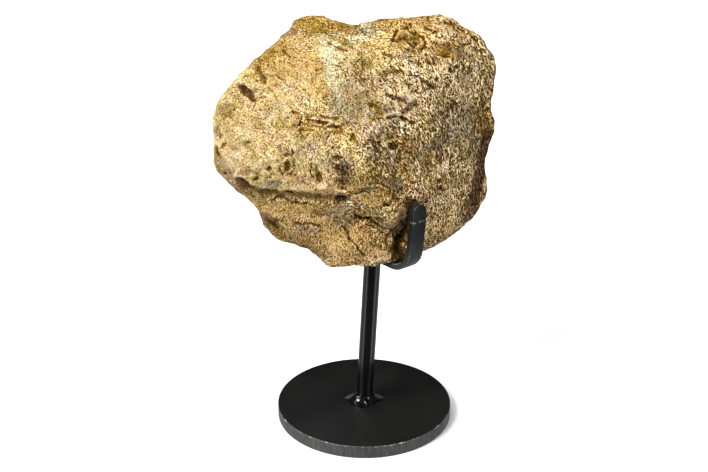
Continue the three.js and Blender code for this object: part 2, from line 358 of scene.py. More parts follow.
def make_bead(name, node, foot, dabs, up):
    """One bead: a cone round the rod and its dabs, run together and smoothed. up is 1 or -1."""
    bpy.ops.object.select_all(action="DESELECT")
    bpy.ops.mesh.primitive_cone_add(
        vertices=48,
        radius1=rod_radius + COLLAR_WIDTH,
        radius2=rod_radius + COLLAR_LIP,
        depth=COLLAR_HEIGHT,
        location=foot + Vector((0, 0, up * COLLAR_HEIGHT / 2)),
        rotation=(0 if up > 0 else math.pi, 0, 0),
    )
    bead = bpy.context.object
    balls = []
    for (reach, turn, rise), (along, across, high), fall in dabs:
        way = math.radians(turn)
        middle = foot + Vector((reach * math.cos(way), reach * math.sin(way), rise)) * MM
        bpy.ops.mesh.primitive_ico_sphere_add(
            subdivisions=4,
            radius=1,
            location=middle,
            scale=(along * MM, across * MM, high * MM),
            rotation=(0, math.radians(fall), way),
        )
        balls.append(bpy.context.object)
    select_only(bead)
    for ball in balls:
        ball.select_set(True)
    bpy.ops.object.join()
    bead.name = name
    bpy.ops.object.transform_apply()
    add_modifier(bead, "REMESH", mode="VOXEL", voxel_size=WELD_GRAIN)
    add_modifier(bead, "SMOOTH", factor=0.6, iterations=26)
    places = places_of(bead)
    plate = foot.z * up
    places[:, 2] = up * np.maximum(places[:, 2] * up, plate)
    set_places(bead, places)
    bead.data.polygons.foreach_set("use_smooth", [True] * len(bead.data.polygons))
    finish_piece(bead, weld_paint, node)
    bead.data.materials.append(splash_sheen_paint)
    bead.data.materials.append(rim_paint)
    # painted sheen: the flat tops of the splashes away from the bar take a grey enamel for the soft
    # light they catch
    for face in bead.data.polygons:
        reach = face.center.x - foot.x
        top = face.center.y > -SPLASH_FRONT and face.normal.z > 0.75
        if up > 0 and abs(reach) > SPLASH_START and top:
            face.material_index = 1
        elif up > 0 and not -RIM_LEFT <= reach <= RIM_RIGHT:
            face.material_index = 2


weld_paint = black_enamel("glossy black enamel on arc weld", 0.1, 2 * MM)
splash_sheen_paint = black_enamel("black enamel on frozen splashes, with painted sheen", 0.3, 2 * MM, "#3a3a39")
rim_paint = black_enamel("dull black enamel on their rims", 0.6, 2 * MM, "#050505", 0.1)
make_bead("foot_weld_bead", "base_weld", Vector((rod_foot.x, 0, disc_top)), FOOT_DABS, 1)
make_bead("head_weld_bead", "head_weld", rod_head, HEAD_DABS, -1)

# ---------------------------------------------------------------- the straps
# 3/8 in by 1/8 in flat bar. One piece is bent cold into a U, the cradle, and a second, the
# prong, is welded against its side. The tips are ground round and the rolled corners stay soft.

STRAP_CORNER = 0.45 * MM
GLINT_ROW_HEIGHT = 131.5 * MM  # of the row of pale flecks on the front arm, a painted highlight along the crease of the bend
GLINT_ROW_BAND = (0.7 * MM, 0.4 * MM)  # from it, where the flecks begin and where they are thick
FLOOR_REFLECTION_BAND = (122 * MM, 106 * MM)  # heights between which a painted reflection of the floor thickens towards the foot
CORNER_PLAIN_HEIGHT = 124 * MM  # height at which the corners keep their enamel and take no painted highlight
CORNER_LIGHT_BAND = (8 * MM, 15 * MM)  # from there, where the enamel thins and the painted highlight starts, and where both are strongest


def strap_paint():
    """Black enamel on rolled flat bar: charcoal, satin, a little streaked along the bar."""
    material, tree = new_material("charcoal enamel on rolled flat bar")
    place = add_node(tree, "TexCoord").outputs["Object"]
    stretched = add_node(
        tree, "Mapping", {"Vector": place, "Scale": (1 / (1.5 * MM), 1 / (1.5 * MM), 1 / (6 * MM))}
    )
    along = stretched.outputs["Vector"]
    rolled = add_node(tree, "TexNoise", {"Vector": along, "Scale": 1.0, "Detail": 4.0})
    tints = [(0.3, "#0a0c0c"), (0.75, "#1a1d1c")]
    tint = add_node(tree, "ValToRGB", {0: rolled.outputs["Fac"]}, tints)
    sheen = add_node(tree, "MapRange", {0: rolled.outputs["Fac"], 1: 0.3, 2: 0.7, 3: 0.3, 4: 0.45})
    height = add_node(tree, "SeparateXYZ", {0: place}).outputs["Z"]
    # painted reflection: the white floor seen in the bar, lightening it towards its foot
    floor_reflection = add_node(tree, "MapRange", {0: height, 1: FLOOR_REFLECTION_BAND[0], 2: FLOOR_REFLECTION_BAND[1], 4: 0.8})
    colour = add_node(
        tree,
        "Mix",
        {0: floor_reflection.outputs["Result"], 6: tint.outputs["Color"], 7: linear("#4a4d4d")},
        data_type="RGBA",
    )
    # painted highlight: a row of pale pinhead flecks where the bar was bent, standing for the glint
    # along its crease
    below = add_node(tree, "Math", {0: height, 1: GLINT_ROW_HEIGHT}, operation="SUBTRACT")
    apart = add_node(tree, "Math", {0: below.outputs["Value"]}, operation="ABSOLUTE")
    inputs = {0: apart.outputs["Value"], 1: GLINT_ROW_BAND[0], 2: GLINT_ROW_BAND[1]}
    glint_row = add_node(tree, "MapRange", inputs)
    glint_speck = add_node(tree, "TexNoise", {"Vector": place, "Scale": 1 / (0.8 * MM), "Detail": 0.0})
    fleck = add_node(tree, "MapRange", {0: glint_speck.outputs["Fac"], 1: 0.54, 2: 0.62})
    flecked = add_node(
        tree,
        "Math",
        {0: glint_row.outputs["Result"], 1: fleck.outputs["Result"]},
        operation="MULTIPLY",
    )
    colour = add_node(
        tree,
        "Mix",
        {0: flecked.outputs["Value"], 6: colour.outputs[2], 7: linear("#b4b4ae")},
        data_type="RGBA",
    )
    # painted shade: the thin sides of the bar are made blacker than the rolled faces, as they stand in
    # shade
    facing = add_node(tree, "SeparateXYZ", {0: add_node(tree, "TexCoord").outputs["Normal"]})
    sideways = add_node(tree, "Math", {0: facing.outputs["X"]}, operation="ABSOLUTE")
    narrow_side_shade = add_node(tree, "MapRange", {0: sideways.outputs["Value"], 1: 0.6, 2: 0.85, 4: 0.85})
    colour = add_node(
        tree,
        "Mix",
        {0: narrow_side_shade.outputs["Result"], 6: colour.outputs[2], 7: linear("#050505")},
        data_type="RGBA",
    )
    relief = {"Height": rolled.outputs["Fac"], "Strength": 0.25, "Distance": 0.15 * MM}
    bump = add_node(tree, "Bump", relief)
    surface = add_node(
        tree,
        "BsdfPrincipled",
        {
            "Base Color": colour.outputs[2],
            "Roughness": sheen.outputs["Result"],
            "Specular IOR Level": 0.2,
            "Normal": bump.outputs["Normal"],
        },
    )
    add_node(tree, "OutputMaterial", {"Surface": surface.outputs["BSDF"]})
    return material


def corner_wear_and_highlight_paint():
    """Where hands and the stone rubbed the corners, the enamel is thin and steel greys through, and the
    pale corners also paint the highlights along the edges.
    """
    material, tree = new_material("enamel rubbed thin on a corner, with painted highlight")
    place = add_node(tree, "TexCoord").outputs["Object"]
    rub = add_node(tree, "TexNoise", {"Vector": place, "Scale": 1 / (2.2 * MM), "Detail": 4.0})
    height = add_node(tree, "SeparateXYZ", {0: place}).outputs["Z"]
    # wear and painted highlight: away from this height the corners turn pale
    midway = add_node(tree, "Math", {0: height, 1: CORNER_PLAIN_HEIGHT}, operation="SUBTRACT")
    away = add_node(tree, "Math", {0: midway.outputs["Value"]}, operation="ABSOLUTE")
    inputs = {0: away.outputs["Value"], 1: CORNER_LIGHT_BAND[0], 2: CORNER_LIGHT_BAND[1], 3: -0.1, 4: 0.06}
    bared_and_lit = add_node(tree, "MapRange", inputs)
    amount = add_node(tree, "Math", {0: rub.outputs["Fac"], 1: bared_and_lit.outputs["Result"]})
    tint = add_node(
        tree,
        "ValToRGB",
        {0: amount.outputs["Value"]},
        [(0.38, "#1d1f1e"), (0.5, "#62645f"), (0.64, "#b4b5ae")],
    )
    surface = add_node(
        tree,
        "BsdfPrincipled",
        {"Base Color": tint.outputs["Color"], "Roughness": 0.4, "IOR": 1.5},
    )
    add_node(tree, "OutputMaterial", {"Surface": surface.outputs["BSDF"]})
    return material


def copy_of_node(node, name):
    """A new piece with the shape of a solid, its doubled corners merged."""
    piece = bpy.data.objects.new(name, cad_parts[node].data.copy())
    bpy.context.scene.collection.objects.link(piece)
    select_only(piece)
    bpy.ops.object.mode_set(mode="EDIT")
    bpy.ops.mesh.select_all(action="SELECT")
    bpy.ops.mesh.remove_doubles(threshold=0.001 * MM)
    bpy.ops.object.mode_set(mode="OBJECT")
    return piece


strap_enamel = strap_paint()
corner_wear_and_highlight = corner_wear_and_highlight_paint()


def make_strap(name, node):
    """The bar's solid with its long corners rounded off, and the enamel thin on them, with painted
    highlights.
    """
    strap = copy_of_node(node, name)
    finish_piece(strap, strap_enamel, node)
    strap.data.materials.append(corner_wear_and_highlight)
    add_modifier(
        strap,
        "BEVEL",
        width=STRAP_CORNER,
        segments=3,
        limit_method="ANGLE",
        angle_limit=math.radians(50),
        material=1,
    )
    bpy.ops.object.shade_smooth_by_angle(angle=math.radians(50))
    return strap


cradle = make_strap("cradle_bar", "cradle_strap")
prong = make_strap("prong_bar", "rear_prong")

# ---------------------------------------------------------------- the fossil
# A broken section of dinosaur frill bone. The bone was built of fine struts laid in arcs, its
# pores filled with silt and iron while it turned to stone, and it broke off along its edges.

STONE_GRAIN = 0.66 * MM  # between two points of the finished skin
BACK_DEPTH = -4  # mm out of the slab: what lies further back is plain
BACK_SHARE = 0.75  # of the triangles is left once the plain back is thinned
SLAB_LEAN = math.radians(12)
FRONT_FADE = (-2, 5)  # mm out of the slab, between which the features of the face set in
STAIN_FADE = (-12, -6)  # the same for its stains
FACE_WAVES = ((1.2, 24, 13), (0.8, 8, 14), (0.4, 4, 21))  # its rise and fall: height, size, seed
LEDGE_LIP = 1.0  # mm that the ledge stands out above its brink
LEDGE_UNDERCUT = 2.4  # mm that it is cut in below
HOLLOW_STOPS = 2.8  # of shade in the deepest hollow
GROWTH_CENTRE = (-95.0, -38.0)  # mm across and up the slab: the struts run in arcs round it
GROWTH_RADIUS = 95  # mm out from it, where lengths along the arcs are true
STRAP_GAP = 0.2  # mm of air left between the skin and a strap
STRAP_NEAR = 3 * MM  # a strap further off is in no point's way

stone_low, stone_high = (Vector(corner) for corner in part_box("frill_fossil"))
stone_middle = (stone_low + stone_high) / 2

# Stains and kinds of surface on the front face, as oval patches: (middle, half sizes, turn,
# weight), in mm and degrees, across and up the slab from its middle. The darker patches are
# darker by their weight in stops: dark silt, and also painted shade where the face turns from the
# light and where a strap's shadow falls. The lighter ones are lighter by 0.6 of their weight:
# paler bone, and also painted light that lifts shadows.
PATCHES = {
    "pale": [
        ((-13, 44), (5, 11), 12, 1.0),
        ((-9.5, 27), (5, 8), 8, 0.7),
        ((-57, 6), (6, 4), 0, 0.6),
        ((-45, 14), (3.5, 2.5), 0, 0.6),
        ((-37, 17), (6, 2.4), -45, 0.5),
        ((-52, -12), (3, 4), 0, 0.45),
        ((-60, -6), (4, 4), 0, 0.4),
        ((-32, -2), (3, 3), 0, 0.5),
        ((-17, -9), (5, 5), -45, 0.45),
        ((3, 54), (8, 3.5), 20, 0.8),
        ((14, 57), (7, 2), 35, 0.6),
        ((26, 25), (5, 3), 40, 0.6),
        ((11, 6), (2.5, 4.5), -10, 0.8),
    ],
    "gold": [
        ((-18, 61), (14, 5), -8, 1.0),
        ((-21, 42), (5, 9), 20, 1.0),
        ((-19, 29), (4, 6), 60, 1.0),
        ((-38, 40), (16, 12), 35, 0.75),
        ((-44, 24), (14, 8), 35, 0.4),
        ((38, 60), (30, 6), -5, 1.0),
        ((18, 52), (12, 6), 10, 0.6),
        ((24.5, 57), (4, 1.8), 10, 1.0),
        ((34.5, 51.5), (1.8, 2.4), 0, 1.0),
        ((43, 46), (6, 3), -15, 0.7),
        ((48, 52), (20, 11), -12, 0.8),
        ((-34, -28), (26, 4), 5, 0.6),
        ((24, -38), (7, 9), 0, 0.9),
        ((36, 41), (12, 3), -8, 0.6),
        ((-22, 7), (9, 4), 0, 0.5),
        ((-3, 7), (6, 4), 0, 0.8),
        ((8, -41), (12, 4), -15, 1.0),
        ((0, -54), (16, 10), 0, 0.8),
        ((17, -56), (4, 8), 0, 1.0),
        ((44, -42), (14, 9), 10, 0.7),
        ((31, -24), (7, 6), 0, 0.6),
        ((52, -24), (6, 10), 0, 0.4),
        ((-28, -36), (20, 3), 0, 1.0),
        ((-48, -36), (5, 7), 40, 1.0),
        ((-54, 12), (10, 5), 0, 0.35),
        ((-36, -17), (6, 5), 0, 0.4),
        ((74, 10), (4, 8), 0, 0.9),
    ],
    "pink": [
        ((13, 30), (12, 7), -20, 0.7),
        ((26, 21), (8, 9), 30, 0.9),
        ((12, 6), (6, 7), 0, 0.8),
        ((36, 27), (7, 6), 0, 0.5),
        ((-11, -15), (3.5, 6), 0, 0.9),
        ((-22, -20), (9, 4), 0, 0.5),
        ((-24, 0), (8, 4), 0, 0.5),
        ((-41, 1), (6, 4), 0, 0.5),
        ((-62, -12), (5, 5), 0, 0.4),
        ((46, -6), (9, 9), 0, 0.3),
        ((30, -34), (6, 5), 0, 0.4),
    ],
    # darker patches: dark silt, and painted shade where the face turns from the light and a strap's
    # shadow falls
    "silt_and_shade": [
        ((34, -4), (16, 15), -20, 0.6),
        ((30, -1), (5, 5), 0, 1.6),
        ((27, -8), (5, 5), 0, 1.1),
        ((39, -10), (5, 5), 0, 1.3),
        ((43, -9), (4, 4), 0, 1.5),
        ((44, 0), (4, 5), 0, 1.5),
        ((42, 10), (4, 4), 0, 1.0),
        ((38, -20), (5, 4), 0, 0.9),
        ((35, -30), (4, 4), 0, 1.0),
        ((44, -26), (5, 4), 0, 0.6),
        ((51, -18), (5, 4), 0, 0.6),
        ((56, 9), (12, 16), 0, 0.75),
        ((65, 4), (4, 9), 0, 1.3),
        ((69, 8), (3, 5), 0, 1.4),
        ((64, -3), (4, 5), 0, 1.2),
        ((58, -7), (4, 4), 0, 1.2),
        ((67, -2), (4, 26), 0, 0.6),
        ((68, 17), (3, 6), 0, 0.9),
        ((69, 37), (3, 6), 0, 0.9),
        ((59, -31), (4, 4), 0, 0.7),
        ((64, -37), (3, 5), 0, 0.7),
        ((47, 22), (5, 6), 0, 0.8),
        ((50, 29), (4, 4), 0, 0.5),
        ((55, 47), (4, 3), 0, 0.8),
        ((35, 11), (4, 3), 0, 0.7),
        ((16, -5), (8, 6), 0, 0.7),
        ((16, 2), (4, 4), 0, 1.0),
        ((8, -10), (4, 4), 0, 0.9),
        ((21, -8), (4, 4), 0, 1.2),
        ((27, -15), (4, 4), 0, 0.9),
        ((15, -30), (4, 3), 0, 0.9),
        ((8, -17), (5, 4), 0, 1.3),
        ((18, -16), (9, 6), -20, 0.9),
        ((10, 15), (4, 4), 0, 1.1),
        ((20, 12), (5, 3), 0, 1.0),
        ((22, 5), (4, 4), 0, 0.5),
        ((2, -20), (7, 6), 0, 0.8),
        ((-12, -23), (4, 4), 0, 1.0),
        ((-29, -17), (4, 3.5), 0, 1.0),
        ((-23, -16), (4, 4), 0, 1.0),
        ((-9, -17), (4, 4), 0, 0.9),
        ((-25, -10), (20, 12), 0, 0.35),
        ((10, -31), (8, 3), -5, 0.9),
        ((25, -26), (4, 4), 0, 0.7),
        ((-5, -32), (4, 3), 0, 1.8),
        ((-40, -43), (4, 3), 0, 1.2),
        ((-44, -48), (4, 3), 0, 1.0),
        ((-56, -15), (4, 2.5), 0, 0.8),
        ((-7, -42), (5, 3), 0, 0.9),
        ((-2, -40), (5, 5), 0, 0.6),
        ((22, -58), (4, 6), 0, 1.0),
        ((27, -62), (3, 2.5), 0, 1.6),
        ((-19, -60), (5, 3), 0, 1.0),
        ((-14, -47), (10, 4), 0, 0.6),
        ((-30, -48), (9, 6), -20, 0.9),
        ((-24, -54), (13, 6), -20, 0.8),
        ((-38, -51), (5, 4), -30, 1.3),
        ((-20, 60), (16, 4), -8, 0.8),
        ((-34, 57), (6, 3), 25, 1.3),
        ((-38, 52), (5, 5), 40, 0.3),
        ((-51, 42), (4, 4), 40, 0.9),
        ((-45, 46), (5, 4), 40, 1.0),
        ((-10, 54), (5, 3), 0, 0.9),
        ((-4, 50), (4, 3), 0, 0.6),
        ((-3, 58), (6, 4), 0, 1.0),
        ((2, 60), (3, 2.5), 0, 1.3),
        ((14, 60), (5, 3), 0, 0.8),
        ((7, 42), (5, 4), 0, 0.6),
        ((3, 36), (4, 4), 0, 0.8),
        ((7, 56), (4, 2.5), 0, 0.6),
        ((-39, 49), (5, 3), 40, 0.6),
        ((37, 3), (4, 4), 0, 0.9),
        ((26, 41), (4, 2.5), 0, 0.7),
        ((41, -9), (4, 3), 0, 0.6),
        ((52, 30), (3, 3), 0, 0.5),
        ((50, -5), (4, 4), 0, 0.6),
        ((-53, -27), (4, 3), -30, 0.6),
        ((8, -32), (5, 2.5), 0, 0.6),
        ((21, -61), (3, 3), 0, 1.0),
        ((32, -43), (1.5, 6), -6, 2.0),
        ((-15, -44), (4, 3), 0, 0.8),
        ((-18, -31), (5, 2.5), 0, 0.7),
        ((-32, -54), (4, 3), -20, 0.8),
        ((30, -44), (1.5, 7), -6, 2.0),
        ((9, 34), (3, 3), 0, 0.6),
        ((25, 44), (5, 3), 0, 0.8),
        ((25, 52), (7, 3), 0, 0.4),
        ((26, 31), (3, 3), 0, 0.5),
        ((-13, 22), (4, 6), 0, 0.7),
        ((-19, 15), (4, 3), 0, 0.8),
        ((-26, 20), (5, 3), 0, 0.5),
        ((-8, 6), (4, 3), 0, 1.3),
        ((-27, 4), (4, 3), 0, 0.7),
        ((-31, 12), (4, 3), 0, 0.6),
        ((-66, 17), (4, 5), 0, 1.0),
        ((-60, 24), (4, 6), 0, 0.3),
        ((-66, -21), (4, 3), 0, 0.8),
        ((-72, -14), (4, 4), 0, 0.7),
        ((-73, 4), (3, 4), 0, 1.0),
        ((-73, -8), (3, 3), 0, 1.0),
        ((-62, -3), (4, 3), 0, 0.5),
        ((-54, -1), (4, 3), 0, 0.4),
        ((-58, -24), (4, 3), -40, 0.3),
    ],
    # lighter patches: paler bone, and painted light where shadows are lifted
    "paler_and_lit": [
        ((70, 34), (4, 3), 0, 1.0),
        ((58, -39), (3, 3), 0, 1.0),
        ((25, 18), (3, 4), 0, 1.2),
        ((73, 4), (2, 3), 0, 1.0),
        ((-34, 20), (6, 4), 0, 0.7),
        ((-57, 13), (5, 4), 0, 0.7),
        ((-43, -16), (4, 4), 0, 0.7),
        ((-48, -40), (4, 3), -30, 2.2),
        ((-43, 33), (5, 4), 40, 0.8),
        ((-19, -22), (4, 3), 0, 1.0),
        ((27, 57), (4, 2), 0, 0.9),
        ((35, 58), (4, 2.5), 0, 1.2),
        ((40, 50), (6, 4), 0, 1.8),
        ((36, 48), (4, 3), 0, 1.6),
        ((61, 37), (3, 4), 0, 0.8),
        ((45, 56), (9, 4), -8, 1.3),
        ((50, 62), (5, 2), 0, 0.8),
        ((39, 38), (5, 3), 0, 1.2),
        ((26, 31), (4, 3), 0, 0.8),
        ((28, -21), (4, 3), 0, 0.8),
        ((1, -4), (4, 3), 0, 1.0),
        ((44, 35), (5, 4), 0, 1.0),
        ((34, 29), (4, 4), 0, 0.9),
        ((37, 20), (4, 4), 0, 1.3),
        ((58, 22), (4, 6), 0, 0.9),
        ((55, 7), (4, 3), 0, 0.9),
        ((64, 48), (4, 5), 0, 1.8),
        ((14, 40), (4, 3), 0, 1.4),
        ((13, 29), (4, 4), 0, 0.9),
        ((25, 22), (5, 3), -25, 2.0),
        ((6, 60), (4, 3), 0, 1.0),
        ((0, 15), (3, 3), 0, 0.8),
        ((0, 6), (3, 3), 0, 0.8),
        ((9, -1), (3, 4), 0, 0.9),
        ((-4, -9.5), (3, 3), 0, 1.1),
        ((-6, 28), (4, 4), 0, 0.7),
        ((0, 26), (5, 8), 0, 0.3),
        ((-12, 7), (12, 3), 0, 0.5),
        ((-21, 29), (5, 4), 0, 1.0),
        ((-26, 39), (5, 4), 0, 0.8),
        ((-37, 36), (6, 5), 40, 1.0),
        ((-32, 30), (5, 4), 0, 0.7),
        ((-40, 23), (5, 4), 0, 0.7),
        ((-21, -12), (4, 3), 0, 0.8),
        ((-28, -9), (6, 3), 0, 0.5),
        ((-37, -9), (5, 3), 0, 1.9),
        ((-45, -12), (5, 4), 0, 1.1),
        ((-59, -11), (5, 3), 0, 0.7),
        ((-60, -18), (5, 2), -30, 1.2),
        ((-51, -22), (6, 3), -10, 1.3),
        ((-36, -25), (8, 2), 0, 1.2),
        ((-21, -25), (6, 2), 0, 1.0),
        ((-73, -1), (2, 4), 0, 0.8),
        ((-27, -4), (4, 3), 0, 0.9),
        ((21, -45), (4, 3), 0, 2.6),
        ((-48, -41), (4, 2), -30, 2.0),
        ((-24, -35), (8, 2.5), 0, 1.2),
        ((-40, -34), (4, 3), 0, 0.7),
        ((57, -38), (6, 7), 0, 1.5),
        ((48, -46), (5, 4), 0, 0.8),
        ((50, -29), (5, 4), 0, 1.0),
        ((47, -11), (4, 3), 0, 0.9),
        ((40, -46), (4, 6), 0, 2.2),
        # this one lightens where the strap's shadow falls: painted light
        ((23.5, -39), (3, 4), 0, 6.0),
        ((30, 21), (4, 3), 0, 2.0),
        ((-73, 13), (2, 4), 0, 1.0),
        ((0, -35), (5, 2.5), 0, 1.0),
        ((10, -38), (4, 3), 0, 0.8),
        ((-3, -52), (5, 4), 0, 0.9),
        ((0, -58), (4, 3), 0, 0.9),
        ((-10, -57), (5, 3), 0, 1.0),
        ((15, -61), (5, 3), 0, 3.8),
    ],
    "grey": [
        ((14, 2), (10, 13), 0, 0.5),
        ((43, -2), (7, 5), 20, 1.0),
        ((52, 10), (14, 14), 0, 0.7),
        ((16, -6), (11, 7), 0, 0.7),
        ((60, 40), (7, 12), 0, 0.3),
        ((-8, 19), (5, 6), 0, 0.9),
        ((20, -20.5), (6.5, 3.5), -35, 1.0),
        ((7, -23), (7, 2.5), 0, 0.7),
        ((-5, -15), (3.5, 9), 0, 0.9),
        ((-2, 22), (9, 15), 10, 0.6),
        ((6.5, 59), (5, 4), 0, 0.7),
        ((55, 45.5), (4.5, 3.5), 0, 1.0),
        ((-24, -47), (7, 3), -20, 0.7),
        ((-48, -27), (4, 2.5), -20, 1.0),
        ((-41, -22.5), (3.4, 2.2), -20, 1.0),
        ((-21, -3.5), (1.4, 3), 20, 0.8),
        ((-6, -41), (8, 5), 0, 0.8),
        ((24, 20), (10, 6), 20, 0.6),
        ((16, 34), (5, 5), 0, 0.5),
        ((36, -15), (4, 4), 0, 0.5),
        ((-12, -36), (9, 2.5), 0, 0.5),
    ],
    "rust": [
        ((-58, -22), (5, 3), -35, 0.7),
        ((-46, -43), (8, 3), -35, 0.9),
        ((-68, -12), (2, 8), 20, 0.5),
        ((25, -52), (3, 10), -5, 0.4),
        ((11, -2), (3, 3), -60, 0.6),
    ],
    "soft": [
        ((4, 50), (16, 9), 0, 0.7),
        ((8, 26), (12, 14), 20, 0.35),
        ((-34, 32), (16, 14), 35, 0.55),
        ((30, 53), (11, 6), 0, 0.8),
        ((20, 23), (14, 12), 0, 0.6),
        ((48, 47), (9, 5), -12, 1.0),
        ((9, -27), (13, 6), -15, 0.7),
        ((-13, 42), (5, 12), 10, 0.8),
        ((-48, 34), (6, 5), 40, 0.5),
        ((20, -20.5), (6, 3), -35, 0.9),
    ],
    "coarse": [
        ((-26, -34), (26, 9), 4, 0.8),
        ((-25, -10), (20, 12), 0, 0.3),
        ((50, -10), (24, 34), 0, 0.2),
        ((-14, -48), (26, 10), 0, 0.35),
        ((20, 44), (40, 18), 0, 0.3),
    ],
    "sandy": [
        ((-6, -54), (26, 12), 0, 1.0),
        ((-26, -38), (24, 6), 0, 0.7),
        ((42, -50), (12, 8), 0, 0.6),
        ((-30, 42), (14, 13), 30, 0.45),
        ((12, -27), (7, 3.5), 0, 0.6),
        ((47, 47.5), (10, 4.5), -12, 1.0),
    ],
    "porous": [
        ((-5, -15), (6, 9), 0, 0.8),
        ((15, 0), (13, 13), 0, 0.9),
        ((22, -12), (16, 12), 0, 0.9),
        ((2, -38), (9, 3), 0, 0.6),
        ((54, 30), (16, 16), 0, 1.0),
        ((-10, -7), (4, 7), 0, 0.6),
    ],
    "folded": [
        ((16, 22), (20, 20), 20, 0.6),
        ((-26, -16), (24, 9), 0, 0.8),
        ((26, 48), (22, 10), -8, 0.8),
        ((-14, 9), (16, 5), 0, 0.9),
        ((2, -32), (20, 7), -20, 0.9),
        ((-46, -22), (14, 5), -20, 0.8),
        ((-14, 58), (20, 5), -10, 0.7),
    ],
    "bedded": [
        ((-26, -37), (24, 5), 4, 1.0),
        ((8, -42), (12, 4), -25, 0.8),
    ],
    "streaked": [
        ((4, 50), (18, 10), 0, 0.9),
        ((-40, 10), (20, 16), 0, 0.3),
        ((6, 28), (12, 12), 20, 0.7),
        ((20, 20), (7, 5.5), -30, 1.0),
        ((22, 9), (9, 4), -10, 0.9),
        ((28, 38), (10, 4), -10, 0.9),
        ((34, 46), (14, 5), -5, 0.8),
        ((-14, 9), (14, 5), 0, 0.9),
        ((-42, 30), (14, 10), 40, 0.6),
        ((-28, -35), (18, 4), 0, 0.7),
        ((9, -28), (10, 4), 0, 0.4),
        ((4, -41), (12, 4), -20, 0.8),
        ((14, 56), (12, 5), 15, 0.8),
        ((58, 0), (12, 30), 0, 0.5),
    ],
}
BANDS = [  # kinds of stain, points, half width, weight
    (("rust", "silt_and_shade"), [(71.5, 3), (70.2, -7), (67.8, -16), (65.8, -26)], 5.0, 1.3),
    (("rust", "silt_and_shade"), [(65.8, -26), (63.6, -33), (60.6, -41)], 6.0, 1.2),
    (("gold",), [(23.4, 55.6), (26, 56.8), (28.2, 57.2)], 1.8, 1.0),
    (("gold",), [(33.4, 49.0), (35.2, 49.8)], 1.2, 1.0),
    (("grey",), [(33.6, 53.0), (35.4, 52.4)], 1.2, 0.9),
    (("pale",), [(23.6, 25.0), (26.5, 24.2), (30, 22.0)], 2.4, 1.0),
    (("gold",), [(17.5, 19.8), (20.5, 19.6), (24, 17.0)], 2.6, 0.6),
    (("rust",), [(31.4, 20.2), (28.5, 17.9), (25.6, 15.2)], 2.6, 0.5),
    (("pale",), [(17.6, 14.4), (21.2, 15.4), (24.6, 14.6)], 1.5, 0.9),
    (("grey", "sandy"), [(6, -22.5), (12, -19.8), (18, -20.8), (21.5, -25)], 2.6, 1.0),
    (("grey", "sandy"), [(21.5, -25), (21, -28.5)], 1.6, 0.7),
    (("pale",), [(3.0, -26.6), (6.0, -27.4), (9.6, -28.8)], 1.3, 1.0),
    (("pale",), [(11.5, -30.5), (15.0, -30.2), (17.0, -28.6)], 1.0, 0.8),
    (("gold",), [(11, -23.8), (16.5, -23.6), (18.4, -26.5)], 1.8, 1.0),
    (("gold", "sandy"), [(1, -43.2), (7, -44.6), (13, -45.2)], 2.0, 1.0),
    (("gold",), [(-44, -34), (-34, -34.5), (-24, -35.5)], 2.0, 0.8),
    (("rust",), [(-49.6, 37.4), (-47.6, 34.4), (-46.4, 31.2)], 1.6, 0.35),
    (("pale", "pink"), [(5.5, 17.5), (4.0, 13.0), (9.0, 8.4)], 1.7, 0.7),
    (("pale", "pink"), [(15, 9.6), (21, 8.6), (26, 8.2)], 1.2, 0.6),
    (("gold",), [(41, 45.4), (46, 45.6), (49, 44.6)], 1.6, 0.7),
    (("grey", "sandy"), [(51, 47.6), (55.5, 45.6), (57, 43.2)], 2.4, 0.9),
    (("pale",), [(-33.6, -5.0), (-31.4, -4.6)], 0.8, 1.0),
]
STAINS = {  # colour and strength
    "sandy": ("#c09c6a", 0.7),
    "pale": ("#d4c9a4", 0.75),
    "pink": ("#d8b896", 0.6),
    "gold": ("#c39a4c", 0.75),
    "grey": ("#8c8370", 0.6),
    "rust": ("#6a4428", 0.95),
}
